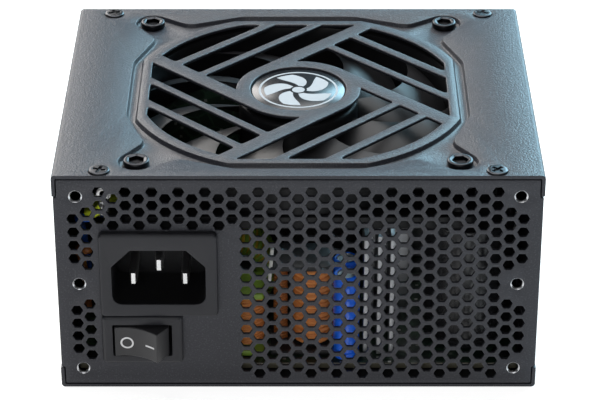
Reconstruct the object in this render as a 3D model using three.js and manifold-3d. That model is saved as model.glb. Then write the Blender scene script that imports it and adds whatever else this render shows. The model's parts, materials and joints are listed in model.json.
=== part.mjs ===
// Small form factor computer power supply: a folded steel case with a top fan,
// a mains inlet and switch on one end, and modular lead sockets on the other.
// Millimetres. Origin at the middle of the underside, +Z up, inlet panel towards -Y.
import * as THREE from "three";
import { mergeVertices } from "three/addons/utils/BufferGeometryUtils.js";
import Module from "manifold-3d";

const wasm = await Module();
wasm.setup();

// Case
const WIDTH = 125;
const DEPTH = 100;
const HEIGHT = 63.5;
const SHEET = 0.9;
const GAP = 0.3;
const BEND = 1;
const FLANGE = 6;
const WALL_STEP = 0.25;
const HALF_W = WIDTH / 2;
const HALF_D = DEPTH / 2;

// Mounting holes of the inlet panel, a 113 x 51.5 mm rectangle with a middle pair
const MOUNT_X = 56.5;
const MOUNT_Z = [6, 31.75, 57.5];
const MOUNT_HOLE_R = 1.5;

// Hexagonal vent holes
const HEX_PITCH = 3.9;
const HEX_FLATS = 2.75;
const HEX_COLUMN = HEX_PITCH * Math.sqrt(3) / 2;
const HEX_TOP_Z = 58.8;
const HEX_ROWS = 15;
const HEX_SIDE_COLUMNS = 17;
const HEX_CLEAR = 4.5;
const PLAIN_COLUMNS = [-15, -5];
const PLAIN_TOP_Z = 49;

// Fan, 92 mm square and 15 mm thick, under the stamped grille
const FAN_Y = -0.7;
const FAN_SIDE = 92;
const FAN_THICK = 15;
const FAN_HOLE = 41.25;
const FAN_BORE_R = 43.4;
const HUB_R = 16;
const BLADE_TIP_R = 42.2;
const BLADE_COUNT = 9;
const RECESS = 1.2;
const RECESS_FLOOR = HEIGHT - RECESS;
const FAN_TOP = RECESS_FLOOR - SHEET - 0.2;
const FAN_BASE = FAN_TOP - FAN_THICK;

// Stamped grille: four groups of three slots turned about the middle
const SLOT_CIRCLE_R = 42.8;
const SLOT_SQUARE = 39.95;
const SPOKE = [12.2, 17];
const THIN_BARS = [[23.5, 26], [32.9, 35.6]];
const DISC_R = 46.3;
const DISC_FLAT = 42.7;
const RECESS_FLAT = 45.2;
const RECESS_FLAT_HALF = 16;
const RECESS_VALLEY = [39.7, 31];
const LOBE_R = 4.6;
const HUB_CIRCLE_R = 16.8;
const BADGE_R = 12.6;
const DISH_R = 12.9;
const DISH_DEPTH = 1.2;
const DISH_FLOOR = HEIGHT - DISH_DEPTH;

// Mains inlet (x and z from its own centre) and rocker switch
const INLET_AT = { x: -35.9, z: 35.25 };
const INLET = {
  w: 30.4, h: 24.4, lip: 2.2, bodyW: 27, bodyH: 19.6, back: 19, wellW: 24.1, wellH: 16, well: 16, drop: 0.4,
};
const SWITCH_AT = { x: -40.6, z: 15.7 };
const SWITCH = {
  w: 21, h: 14.4, lip: 2, bodyW: 18.8, bodyH: 12.4, back: 15, openW: 15.4, openH: 9.4, deep: 11,
};
const ROCKER = { crest: 5.85, rise: 5.18, pivotIn: 0.73, tilt: 18, end: 7.4, high: 8.8 };

// Circuit board
const BOARD = { x: 58, front: -47, back: 43, z: 4, thick: 1.6 };
const BOARD_TOP = BOARD.z + BOARD.thick;

// Modular lead sockets: contacts across, centre x, centre z
const CONTACT_PITCH = 4.2;
const SOCKETS = {
  main_socket_wide: [9, -32, 40],
  main_socket_narrow: [5, 4, 40],
  processor_socket_1: [4, 29.5, 40],
  processor_socket_2: [4, -40, 24],
  graphics_socket: [4, -14, 24],
  drive_socket: [3, 12, 24],
};

function finish(color, roughness, metalness) {
  return new THREE.MeshStandardMaterial({ color, roughness, metalness });
}

const MATERIAL = {
  coat: finish(0x3d3e43, 0.62, 0.4),
  screw: finish(0x1c1d20, 0.4, 0.8),
  plastic: finish(0x232427, 0.5, 0),
  fan: finish(0x1b1c1f, 0.35, 0),
  pin: finish(0xd3d5d6, 0.28, 1),
  board: finish(0x14532f, 0.5, 0),
  sheet: finish(0x101214, 0.6, 0),
  copper: finish(0xb5652d, 0.35, 0.7),
  aluminium: finish(0xb9bcc0, 0.35, 1),
  sleeve: finish(0x17181b, 0.4, 0),
  blue: finish(0x2349a8, 0.4, 0),
  core: finish(0x7c8f37, 0.5, 0),
  yellow: finish(0xc9a524, 0.5, 0),
  badge: finish(0x14161a, 0.2, 0.3),
  brass: finish(0xb08d45, 0.35, 1),
  liveWire: finish(0x5b3420, 0.5, 0),
  neutralWire: finish(0x2458b5, 0.5, 0),
  earthWire: finish(0x8fa82c, 0.5, 0),
};

// A closed solid for cutting and joining, and the way back to a geometry.
function solid(geometry) {
  const bare = geometry.clone();
  bare.deleteAttribute("normal");
  bare.deleteAttribute("uv");
  const merged = mergeVertices(bare, 1e-4);
  return new wasm.Manifold(new wasm.Mesh({
    numProp: 3,
    vertProperties: new Float32Array(merged.attributes.position.array),
    triVerts: new Uint32Array(merged.index.array),
  }));
}

function geometryOf(body) {
  const mesh = body.getMesh();
  const geometry = new THREE.BufferGeometry();
  geometry.setAttribute("position", new THREE.BufferAttribute(new Float32Array(mesh.vertProperties), 3));
  geometry.setIndex(new THREE.BufferAttribute(new Uint32Array(mesh.triVerts), 1));
  return geometry;
}

const joined = (...parts) => parts.map((p) => (p.isBufferGeometry ? solid(p) : p)).reduce((a, b) => a.add(b));
const cut = (body, ...tools) => tools.reduce((a, t) => a.subtract(t.isBufferGeometry ? solid(t) : t),
  body.isBufferGeometry ? solid(body) : body);

// Basic shapes, placed by their limits
function block(x0, x1, y0, y1, z0, z1) {
  return new THREE.BoxGeometry(x1 - x0, y1 - y0, z1 - z0)
    .translate((x0 + x1) / 2, (y0 + y1) / 2, (z0 + z1) / 2);
}

function post(radius, z0, z1, sides = 24, x = 0, y = 0) {
  return new THREE.CylinderGeometry(radius, radius, z1 - z0, sides).rotateX(Math.PI / 2)
    .translate(x, y, (z0 + z1) / 2);
}

function turned(profile, sides = 24) {
  const points = profile.map(([r, z]) => new THREE.Vector2(r, z));
  return new THREE.LatheGeometry(points, sides).rotateX(Math.PI / 2);
}

function ring(inner, outer, z0, z1, sides = 24) {
  return turned([[inner, z0], [outer, z0], [outer, z1], [inner, z1], [inner, z0]], sides);
}

const thickness = (depth) => ({ depth, bevelEnabled: false, curveSegments: 3 });
const slabUp = (shape, z0, z1) => new THREE.ExtrudeGeometry(shape, thickness(z1 - z0)).translate(0, 0, z0);
// A shape drawn in x and z, with thickness from y0 to y1
const slabAlong = (shape, y0, y1) => new THREE.ExtrudeGeometry(shape, thickness(y1 - y0))
  .rotateX(Math.PI / 2).translate(0, y1, 0);

const outline = (points) => new THREE.Shape(points.map(([x, y]) => new THREE.Vector2(x, y)));

function rectangle(w, h, radius = 0, x = 0, y = 0) {
  const shape = new THREE.Shape();
  const [a, b] = [w / 2, h / 2];
  if (!radius) return outline([[x - a, y - b], [x + a, y - b], [x + a, y + b], [x - a, y + b]]);
  shape.moveTo(x - a + radius, y - b);
  shape.lineTo(x + a - radius, y - b);
  shape.absarc(x + a - radius, y - b + radius, radius, -Math.PI / 2, 0);
  shape.lineTo(x + a, y + b - radius);
  shape.absarc(x + a - radius, y + b - radius, radius, 0, Math.PI / 2);
  shape.lineTo(x - a + radius, y + b);
  shape.absarc(x - a + radius, y + b - radius, radius, Math.PI / 2, Math.PI);
  shape.lineTo(x - a, y - b + radius);
  shape.absarc(x - a + radius, y - b + radius, radius, Math.PI, Math.PI * 1.5);
  return shape;
}

function polygonHole(x, y, radius, sides) {
  return new THREE.Path(Array.from({ length: sides }, (_, i) => {
    const angle = 2 * Math.PI * i / sides;
    return new THREE.Vector2(x + radius * Math.cos(angle), y + radius * Math.sin(angle));
  }));
}

const unit = new THREE.Group();
function place(name, shape, material, x = 0, y = 0, z = 0) {
  const mesh = new THREE.Mesh(shape.isBufferGeometry ? shape : geometryOf(shape), material);
  mesh.name = name;
  mesh.position.set(x, y, z);
  unit.add(mesh);
  return mesh;
}

// ---- Case sheets ----
const INNER_HIGH = HEIGHT - SHEET - GAP;
const INNER_LOW = SHEET + GAP;
const FLANGE_TOP = HEIGHT - FLANGE;

// Top cover and bottom pan share a channel section: a plate with two short side flanges and round bends.
function channel() {
  const low = HEIGHT - FLANGE;
  const inner = HALF_W - SHEET;
  const section = new THREE.Shape();
  section.moveTo(HALF_W, low);
  section.absarc(HALF_W - BEND, HEIGHT - BEND, BEND, 0, Math.PI / 2);
  section.absarc(BEND - HALF_W, HEIGHT - BEND, BEND, Math.PI / 2, Math.PI);
  section.lineTo(-HALF_W, low);
  section.lineTo(-inner, low);
  section.lineTo(-inner, HEIGHT - SHEET);
  section.lineTo(inner, HEIGHT - SHEET);
  section.lineTo(inner, low);
  return slabAlong(section, -HALF_D, HALF_D);
}

// The recess follows the fan: four flats, a valley beside each corner, and a round lobe at each screw.
function recessOutline(grow, z0, z1) {
  const flat = RECESS_FLAT + grow;
  const [valleyX, valleyY] = RECESS_VALLEY.map((v) => v + grow * 0.7);
  const radius = LOBE_R + grow;
  const [dx, dy] = [valleyX - FAN_HOLE, valleyY - FAN_HOLE];
  const start = Math.atan2(dy, dx) + Math.acos(radius / Math.hypot(dx, dy));
  const sweep = Math.PI / 2 - 2 * start;
  const points = [];
  for (let quarter = 0; quarter < 4; quarter += 1) {
    const turn = quarter * Math.PI / 2;
    const [c, s] = [Math.cos(turn), Math.sin(turn)];
    const add = (x, y) => points.push([x * c - y * s, x * s + y * c]);
    add(flat, RECESS_FLAT_HALF);
    add(valleyX, valleyY);
    for (let i = 0; i <= 8; i += 1) {
      const angle = start + sweep * i / 8;
      add(FAN_HOLE + radius * Math.cos(angle), FAN_HOLE + radius * Math.sin(angle));
    }
    add(valleyY, valleyX);
    add(RECESS_FLAT_HALF, flat);
  }
  return solid(slabUp(outline(points), z0, z1));
}

function discOutline(shrink, z0, z1) {
  const side = DISC_FLAT - shrink;
  return solid(post(DISC_R - shrink, z0, z1, 48)).intersect(solid(block(-side, side, -side, side, z0, z1)));
}

// One quarter of the grille openings lies beyond the spoke and beside the next one. The opening nearest
// the middle also follows the round hub.
function grilleSlots(z0, z1) {
  const region = solid(post(SLOT_CIRCLE_R, z0, z1, 48)).intersect(
    solid(block(-SLOT_SQUARE, SLOT_SQUARE, -SLOT_SQUARE, SLOT_SQUARE, z0, z1)));
  const bands = [[SPOKE[1], THIN_BARS[0][0]], [THIN_BARS[0][1], THIN_BARS[1][0]], [THIN_BARS[1][1], 60]];
  const slots = [];
  for (let quarter = 0; quarter < 4; quarter += 1) {
    for (const [near, far] of bands) {
      const band = block(-SPOKE[0], 60, near, far, z0, z1);
      band.rotateZ(Math.PI / 4 + quarter * Math.PI / 2);
      slots.push(region.intersect(solid(band)));
    }
    const hub = post(HUB_CIRCLE_R, z0 - 1, z1 + 1, 48);
    const besideHub = cut(block(-SPOKE[0], 0, 8, SPOKE[1] + 0.1, z0, z1), hub);
    slots.push(besideHub.rotate([0, 0, 45 + quarter * 90]));
  }
  return joined(...slots);
}

const COVER_SCREWS = [[-50.4, -47.2], [50.4, -47.2], [-52.5, 46.5], [52.5, 46.5]];
const FAN_CORNERS = [[-1, -1], [1, -1], [1, 1], [-1, 1]].map(([a, b]) => [a * FAN_HOLE, b * FAN_HOLE]);

function topCover() {
  const top = HEIGHT;
  const below = RECESS_FLOOR - SHEET;
  const atFan = (body) => body.translate(0, FAN_Y, 0);
  const moat = recessOutline(0, RECESS_FLOOR, top + 1).subtract(discOutline(0, RECESS_FLOOR - 1, top + 2));
  const dishBack = post(DISH_R + SHEET, DISH_FLOOR - SHEET, top - SHEET / 2, 36, 0, FAN_Y);
  let body = joined(channel(), atFan(recessOutline(SHEET, below, top - SHEET / 2)));
  const underDisc = discOutline(SHEET, below - 1, top - SHEET);
  body = joined(cut(body, atFan(moat), atFan(underDisc), atFan(grilleSlots(50, 70))), dishBack);
  const fanHoles = FAN_CORNERS.map(([x, y]) => post(2.15, 55, 70, 12, x, y + FAN_Y));
  const screwHoles = COVER_SCREWS.map(([x, y]) => post(1.7, 60, 70, 12, x, y));
  const badgeHole = post(1.8, 50, 70, 12, 0, FAN_Y);
  const dish = post(DISH_R, DISH_FLOOR, top + 1, 36, 0, FAN_Y);
  return cut(body, ...fanHoles, ...screwHoles, dish, badgeHole);
}

// Side walls: a flat wall whose upper and lower edges step inwards behind the flanges.
function sideWall(side) {
  const out = HALF_W - WALL_STEP;
  const step = HALF_W - SHEET - GAP;
  const [low, high] = [FLANGE + GAP, FLANGE_TOP - GAP];
  const points = [
    [step, INNER_LOW], [step, low], [out, low], [out, high], [step, high], [step, INNER_HIGH],
    [step - SHEET, INNER_HIGH], [step - SHEET, high - SHEET], [out - SHEET, high - SHEET],
    [out - SHEET, low + SHEET], [step - SHEET, low + SHEET], [step - SHEET, INNER_LOW],
  ];
  const end = HALF_D - SHEET - GAP;
  return slabAlong(outline(points.map(([x, z]) => [side * x, z])), -end, end);
}

// Both end panels have this outline: full width between the flanges, narrower beside them.
function panelOutline() {
  const out = HALF_W - WALL_STEP;
  const step = HALF_W - SHEET - GAP;
  const [low, high] = [FLANGE + GAP, FLANGE_TOP - GAP];
  const half = [[step, INNER_LOW], [step, low], [out, low], [out, high], [step, high], [step, INNER_HIGH]];
  return outline([...half, ...half.map(([x, z]) => [-x, z]).reverse()]);
}

// Ears folded in from the panel's upper edge take the cover screws.
function screwEar(x, panelInner, inward) {
  const reach = panelInner + inward * 8.5;
  const [y0, y1] = [Math.min(panelInner - inward * 0.4, reach), Math.max(panelInner - inward * 0.4, reach)];
  return block(x - 3.3, x + 3.3, y0, y1, INNER_HIGH - SHEET, INNER_HIGH);
}

// Centres of the vent holes: every second column is shifted half a pitch down.
function ventCentres() {
  const centres = [];
  for (let column = -HEX_SIDE_COLUMNS; column <= HEX_SIDE_COLUMNS; column += 1) {
    const odd = Math.abs(column) % 2;
    const rows = odd ? HEX_ROWS : HEX_ROWS - 1;
    for (let row = 0; row < rows; row += 1) {
      const x = column * HEX_COLUMN;
      const z = HEX_TOP_Z - row * HEX_PITCH - (odd ? 0 : HEX_PITCH / 2);
      const nearMount = MOUNT_Z.some((mz) => Math.hypot(Math.abs(x) - MOUNT_X, z - mz) < HEX_CLEAR);
      const onPlain = column >= PLAIN_COLUMNS[0] && column <= PLAIN_COLUMNS[1] && z < PLAIN_TOP_Z;
      if (!nearMount && !onPlain) centres.push([x, z]);
    }
  }
  return centres;
}

function inletPanel() {
  const shape = panelOutline();
  for (const [x, z] of ventCentres()) shape.holes.push(polygonHole(x, z, HEX_FLATS / Math.sqrt(3), 6));
  for (const x of [-MOUNT_X, MOUNT_X]) {
    for (const z of MOUNT_Z) shape.holes.push(polygonHole(x, z, MOUNT_HOLE_R, 16));
  }
  const inletHole = rectangle(INLET.bodyW + 2 * GAP, INLET.bodyH + 2 * GAP, 0, INLET_AT.x, INLET_AT.z);
  const switchHole = rectangle(SWITCH.bodyW + 2 * GAP, SWITCH.bodyH + 2 * GAP, 0, SWITCH_AT.x, SWITCH_AT.z);
  shape.holes.push(new THREE.Path(inletHole.getPoints()), new THREE.Path(switchHole.getPoints()));
  const inner = -HALF_D + SHEET;
  const ears = COVER_SCREWS.slice(0, 2).map(([x]) => screwEar(x, inner, 1));
  const holes = COVER_SCREWS.slice(0, 2).map(([x, y]) => post(1.6, 58, 66, 12, x, y));
  return cut(joined(slabAlong(shape, -HALF_D, inner), ...ears), ...holes);
}

const socketWidth = (across) => across * CONTACT_PITCH + 1.4;
const SOCKET_HIGH = 2 * CONTACT_PITCH + 1.4;
const SOCKET_BACK = 13;
const SOCKET_PROUD = 1.2;

function leadPanel() {
  const inner = HALF_D - SHEET;
  const windows = Object.values(SOCKETS).map(([across, x, z]) => {
    const [a, b] = [socketWidth(across) / 2 + GAP, SOCKET_HIGH / 2 + GAP];
    return block(x - a, x + a, inner - 1, HALF_D + 1, z - b, z + b);
  });
  const ears = COVER_SCREWS.slice(2).map(([x]) => screwEar(x, inner, -1));
  const holes = COVER_SCREWS.slice(2).map(([x, y]) => post(1.6, 58, 66, 12, x, y));
  return cut(joined(slabAlong(panelOutline(), inner, HALF_D), ...ears), ...windows, ...holes);
}

place("top_cover", topCover(), MATERIAL.coat);
place("bottom_pan", channel().rotateY(Math.PI).translate(0, 0, HEIGHT), MATERIAL.coat);
place("side_wall_right", sideWall(1), MATERIAL.coat);
place("side_wall_left", sideWall(-1), MATERIAL.coat);
place("inlet_panel", inletPanel(), MATERIAL.coat);
place("lead_panel", leadPanel(), MATERIAL.coat);

// ---- Case screws ----
// Flat cross-head screw, local z = 0 at the underside of its head
function crossHeadScrew(headR, headHigh, shankR, shankLong) {
  const body = turned([
    [0, -shankLong], [shankR, -shankLong], [shankR, 0], [headR, 0], [headR, headHigh * 0.5],
    [headR * 0.65, headHigh], [0, headHigh],
  ], 12);
  const slot = [block(-headR * 0.55, headR * 0.55, -0.35, 0.35, headHigh * 0.3, headHigh + 1),
    block(-0.35, 0.35, -headR * 0.55, headR * 0.55, headHigh * 0.3, headHigh + 1)];
  return cut(body, ...slot);
}

// Socket-head screw: tall round head with a hexagonal recess
function socketScrew() {
  const body = turned([[0, -5], [1.75, -5], [1.75, 0], [3.35, 0], [3.35, 1.3], [3, 1.65], [0, 1.65]], 18);
  return cut(body, post(2.1, 0.6, 3, 6));
}

const coverScrew = crossHeadScrew(2.7, 0.5, 1.35, 4);
const fanScrew = socketScrew();
COVER_SCREWS.forEach(([x, y], i) => {
  place(`cover_screw_${i + 1}`, coverScrew, MATERIAL.screw, x, y, HEIGHT + 0.05);
});
FAN_CORNERS.forEach(([x, y], i) => {
  place(`fan_screw_${i + 1}`, fanScrew, MATERIAL.screw, x, y + FAN_Y, RECESS_FLOOR + 0.1);
});

// ---- Fan, drawn about its own axis with z = 0 at its lower face ----
function fanFrame() {
  const corner = slabUp(rectangle(FAN_SIDE, FAN_SIDE, 4), 0, FAN_THICK);
  const waist = [[1, 0], [-1, 0], [0, 1], [0, -1]].map(([a, b]) => {
    const half = a ? [4, 34] : [34, 4];
    return block(a * 46 - half[0] + a * 3, a * 46 + half[0] + a * 3, b * 46 - half[1] + b * 3,
      b * 46 + half[1] + b * 3, 3.5, FAN_THICK - 3.5);
  });
  const holes = FAN_CORNERS.map(([x, y]) => post(2.15, -1, FAN_THICK + 1, 12, x, y));
  const shell = cut(corner, post(FAN_BORE_R, -1, FAN_THICK + 1, 48), ...waist, ...holes);
  const struts = [0, 1, 2, 3].map((i) => block(0, FAN_BORE_R + 1, -2.2, 2.2, 0, 2.2)
    .rotateZ(Math.PI / 6 + i * Math.PI / 2));
  const motorBase = post(HUB_R, 0, 2, 24);
  const tube = post(4.6, 0, 11.5, 16);
  return cut(joined(shell, ...struts, motorBase, tube), post(3.45, 1.6, 12, 16));
}

// A blade is swept and twisted: z rises along its chord, less so towards the tip.
function blade(turn) {
  const along = 3;
  const across = 3;
  const thick = 1.1;
  const points = [];
  for (const side of [1, 0]) {
    for (let i = 0; i <= along; i += 1) {
      const u = i / along;
      const radius = HUB_R - 0.8 + u * (BLADE_TIP_R - HUB_R + 0.8);
      for (let j = 0; j <= across; j += 1) {
        const v = j / across;
        const angle = turn + 0.5 * u * u + (v - 0.5) * (0.62 - 0.06 * u);
        const z = 7.6 + (v - 0.5) * (7.6 - 1.4 * u) + 0.7 * Math.sin(Math.PI * v) + (side - 0.5) * thick;
        points.push(radius * Math.cos(angle), radius * Math.sin(angle), z);
      }
    }
  }
  const index = [];
  const at = (side, i, j) => (side ? 0 : (along + 1) * (across + 1)) + i * (across + 1) + j;
  const quad = (a, b, c, d) => index.push(a, b, c, a, c, d);
  for (let i = 0; i < along; i += 1) {
    for (let j = 0; j < across; j += 1) {
      quad(at(1, i, j), at(1, i + 1, j), at(1, i + 1, j + 1), at(1, i, j + 1));
      quad(at(0, i, j), at(0, i, j + 1), at(0, i + 1, j + 1), at(0, i + 1, j));
    }
    quad(at(1, i, 0), at(0, i, 0), at(0, i + 1, 0), at(1, i + 1, 0));
    quad(at(1, i, across), at(1, i + 1, across), at(0, i + 1, across), at(0, i, across));
  }
  for (let j = 0; j < across; j += 1) {
    quad(at(1, 0, j), at(1, 0, j + 1), at(0, 0, j + 1), at(0, 0, j));
    quad(at(1, along, j), at(0, along, j), at(0, along, j + 1), at(1, along, j + 1));
  }
  const geometry = new THREE.BufferGeometry();
  geometry.setAttribute("position", new THREE.Float32BufferAttribute(points, 3));
  geometry.setIndex(index);
  return geometry;
}

function fanRotor() {
  const cup = turned([
    [1.65, 12.6], [HUB_R - 1.4, 12.6], [HUB_R - 1.4, 2.6], [HUB_R, 2.6], [HUB_R, 13.2], [HUB_R - 1, 14.2],
    [1.65, 14.2], [1.65, 12.6],
  ], 24);
  const blades = Array.from({ length: BLADE_COUNT }, (_, i) => blade(2 * Math.PI * i / BLADE_COUNT));
  return cut(joined(cup, ...blades), ring(3, HUB_R - 1.4, 2, 12.6, 24));
}

function stator() {
  const arms = [0, 1, 2, 3].map((i) => block(6, 12.6, -3.6, 3.6, 4, 10).rotateZ(i * Math.PI / 2));
  return joined(ring(4.9, 8, 4, 10, 16), ...arms);
}

place("fan_frame", fanFrame(), MATERIAL.fan, 0, FAN_Y, FAN_BASE);
place("fan_rotor", fanRotor(), MATERIAL.fan, 0, FAN_Y, FAN_BASE);
place("fan_shaft", post(1.5, 1.9, 14, 16), MATERIAL.pin, 0, FAN_Y, FAN_BASE);
place("fan_bearing", ring(1.58, 3.3, 2.2, 11.3, 16), MATERIAL.brass, 0, FAN_Y, FAN_BASE);
place("fan_stator", stator(), MATERIAL.copper, 0, FAN_Y, FAN_BASE);

// Round badge in the grille's dish, with a peg through the dish floor
place("fan_badge", turned([
  [0, -1.1], [1.6, -1.1], [1.6, 0], [BADGE_R, 0], [BADGE_R, 0.4], [BADGE_R - 0.2, 0.6], [0, 0.6],
], 36), MATERIAL.badge, 0, FAN_Y, DISH_FLOOR + 0.1);

// ---- Mains inlet, drawn in x and z about its centre with y = 0 on the panel's outer face ----
const PIN_HOLES = [[-6.7, -2], [6.7, -2], [0, 2]].map(([x, z]) => [x, z - INLET.drop]);

function inletBody() {
  const { w, h, lip, bodyW, bodyH, back, wellW, wellH, well, drop } = INLET;
  const [a, b] = [wellW / 2, wellH / 2];
  const chamfer = 4.9;
  const wellShape = new THREE.Shape();
  wellShape.moveTo(-a, -b + 3);
  wellShape.absarc(-a + 3, -b + 3, 3, Math.PI, Math.PI * 1.5);
  wellShape.absarc(a - 3, -b + 3, 3, Math.PI * 1.5, Math.PI * 2);
  wellShape.lineTo(a, b - chamfer);
  wellShape.lineTo(a - chamfer, b);
  wellShape.lineTo(-a + chamfer, b);
  wellShape.lineTo(-a, b - chamfer);
  const bezel = slabAlong(rectangle(w, h, 1.2), -lip, -0.1);
  const body = block(-bodyW / 2, bodyW / 2, -0.5, back, -bodyH / 2, bodyH / 2);
  const hollow = new THREE.ExtrudeGeometry(wellShape, thickness(well + 1))
    .rotateX(Math.PI / 2).translate(0, well - lip, -drop);
  const slots = PIN_HOLES.map(([x, z]) => {
    return block(x - 1.15, x + 1.15, well - lip - 1, back + 1, z - 2.15, z + 2.15);
  });
  return cut(joined(bezel, body), hollow, ...slots);
}

function inletPin([x, z]) {
  const tip = INLET.back + 5;
  const profile = outline([[-1, 1], [-0.6, 0], [0.6, 0], [1, 1], [1, tip], [-1, tip]]);
  return new THREE.ExtrudeGeometry(profile, { depth: 4, bevelEnabled: false }).translate(x, 0, z - 2);
}

place("ac_inlet_body", inletBody(), MATERIAL.plastic, INLET_AT.x, -HALF_D, INLET_AT.z);
["neutral_pin", "live_pin", "earth_pin"].forEach((name, i) => {
  place(name, inletPin(PIN_HOLES[i]), MATERIAL.pin, INLET_AT.x, -HALF_D + 0.8, INLET_AT.z);
});

// ---- Rocker switch ----
function switchHousing() {
  const { w, h, lip, bodyW, bodyH, back, openW, openH, deep } = SWITCH;
  const bezel = block(-w / 2, w / 2, -lip, -0.1, -h / 2, h / 2);
  const body = block(-bodyW / 2, bodyW / 2, -0.5, back, -bodyH / 2, bodyH / 2);
  const cavity = block(-openW / 2, openW / 2, -lip - 1, deep, -openH / 2, openH / 2);
  const clips = [-1, 1].map((s) => block(s * bodyW / 2 - 0.25, s * bodyW / 2 + 0.25, 2, 6, -2, 2));
  return cut(joined(bezel, body, ...clips), cavity);
}

// The rocker turns about a vertical pin. Its face is hollow between two crests.
function rocker() {
  const { crest, rise, end, high, tilt } = ROCKER;
  const face = Array.from({ length: 9 }, (_, i) => {
    const t = -1 + i / 4;
    return [t * crest, rise - 1.5 * (1 - t * t)];
  });
  const profile = [...face, [end, 0.3], [6.4, -2.2], [2.4, -4], [-2.4, -4], [-6.4, -2.2], [-end, 0.3]];
  const shape = outline(profile.map(([x, w]) => [x, -w]));
  return new THREE.ExtrudeGeometry(shape, { depth: high, bevelEnabled: false })
    .translate(0, 0, -high / 2).rotateZ(-tilt * Math.PI / 180);
}

place("switch_housing", switchHousing(), MATERIAL.plastic, SWITCH_AT.x, -HALF_D, SWITCH_AT.z);
place("switch_rocker", rocker(), MATERIAL.plastic, SWITCH_AT.x, -HALF_D + ROCKER.pivotIn, SWITCH_AT.z - 0.2);

// ---- Main board on its standoffs, over an insulating sheet ----
const STANDOFFS = [[-54, -42], [54, -42], [-54, 38], [54, 38]];
const boardHoles = STANDOFFS.map(([x, y]) => post(1.8, 0, 12, 12, x, y));
place("main_board", cut(block(-BOARD.x, BOARD.x, BOARD.front, BOARD.back, BOARD.z, BOARD_TOP), ...boardHoles),
  MATERIAL.board);
const sheetHoles = STANDOFFS.map(([x, y]) => post(3.6, 0, 12, 12, x, y));
place("insulating_sheet", cut(block(-59, 59, -48, 46, 1.5, 1.9), ...sheetHoles), MATERIAL.sheet);
const standoff = cut(post(3, 0, 3, 6), post(1.5, 0.4, 4, 12));
const boardScrew = crossHeadScrew(2.6, 1.4, 1.3, 3.6);
STANDOFFS.forEach(([x, y], i) => {
  place(`standoff_${i + 1}`, standoff, MATERIAL.brass, x, y, SHEET + 0.05);
  place(`board_screw_${i + 1}`, boardScrew, MATERIAL.screw, x, y, BOARD_TOP + 0.1);
});

// ---- Parts on the board, each standing 0.2 mm clear of it ----
const STAND = BOARD_TOP + 0.2;

// Round can with a bevelled top edge
function can(radius, high, sides = 20) {
  return turned([[0, 0], [radius, 0], [radius, high - 0.6], [radius - 0.6, high], [0, high]], sides);
}

// Wound ring core lying on its side: the axis runs along y
function woundRing(inner, outer, long) {
  return turned([
    [inner, 0], [outer - 1.2, 0], [outer, 1.2], [outer, long - 1.2], [outer - 1.2, long], [inner, long],
    [inner, 0],
  ], 18).rotateX(Math.PI / 2);
}

// Two windings side by side on a bobbin with end plates
function bobbinChoke(wide, deep, high) {
  const plates = [[0, 2], [high - 2, high]].map(([z0, z1]) => {
    return block(-wide / 2, wide / 2, -deep / 2, deep / 2, z0, z1);
  });
  const coils = [-1, 1].map((s) => post(wide / 4 - 0.4, 1, high - 1, 20, s * wide / 4, 0));
  return joined(...plates, ...coils, block(-wide / 4, wide / 4, -deep / 4, deep / 4, 1, high - 1));
}

// Finned aluminium: an upright plate with fins towards the inlet end
function heatsink(wide, deep, high, fins) {
  const back = block(-wide / 2, wide / 2, deep / 2 - 2, deep / 2, 0, high);
  const pitch = (wide - 1.2) / (fins - 1);
  const blades = Array.from({ length: fins }, (_, i) => {
    const x = -wide / 2 + i * pitch;
    return block(x, x + 1.2, -deep / 2, deep / 2 - 1, 0, high);
  });
  return joined(back, ...blades);
}

// Transformer: winding block with an E-shaped core around it
function transformer(wide, deep, high) {
  const core = [block(-wide / 2, wide / 2, -deep / 4, deep / 4, 3, high),
    block(-wide / 2 + 4, wide / 2 - 4, -deep / 2, deep / 2, 0, high - 5)];
  return joined(...core);
}

place("line_filter_choke", bobbinChoke(18, 12, 19), MATERIAL.core, -18, -38, STAND);
place("surge_filter_choke", bobbinChoke(16, 13, 27), MATERIAL.copper, 0.5, -37, STAND);
place("blue_capacitor_1", can(3.5, 25, 16), MATERIAL.blue, 12.6, -43, STAND);
place("blue_capacitor_2", can(3.5, 25, 16), MATERIAL.blue, 12.6, -35, STAND);
place("primary_heatsink", heatsink(12.6, 24, 36, 4), MATERIAL.aluminium, 23.4, -31, STAND);
place("bulk_capacitor", can(12, 36, 28), MATERIAL.sleeve, 45, -29, STAND);
place("boost_choke", woundRing(5, 12, 13), MATERIAL.core, -17, -10, STAND + 12);
place("safety_capacitor", block(-9, 9, -4, 4, 0, 15), MATERIAL.yellow, -46, -12, STAND);
place("transformer", transformer(28, 26, 30), MATERIAL.sleeve, 6, 8, STAND);
place("secondary_heatsink", heatsink(30, 8, 30, 6), MATERIAL.aluminium, 40, 6, STAND);
[0, 1, 2].forEach((i) => {
  place(`output_capacitor_${i + 1}`, can(5, 20, 20), MATERIAL.sleeve, 22 + 12 * i, 22, STAND);
});
place("output_choke", woundRing(3.5, 8, 11), MATERIAL.copper, -26, 14, STAND + 8);

// ---- Modular lead sockets on their own upright board ----
function leadSocket(across) {
  const wide = socketWidth(across);
  const body = block(-wide / 2, wide / 2, -SOCKET_BACK, SOCKET_PROUD, -SOCKET_HIGH / 2, SOCKET_HIGH / 2);
  const cells = [];
  for (let i = 0; i < across; i += 1) {
    const x = (i - (across - 1) / 2) * CONTACT_PITCH;
    for (const z of [-CONTACT_PITCH / 2, CONTACT_PITCH / 2]) {
      cells.push(block(x - 1.7, x + 1.7, SOCKET_PROUD - 9, SOCKET_PROUD + 1, z - 1.7, z + 1.7));
    }
  }
  return cut(body, ...cells);
}

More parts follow.
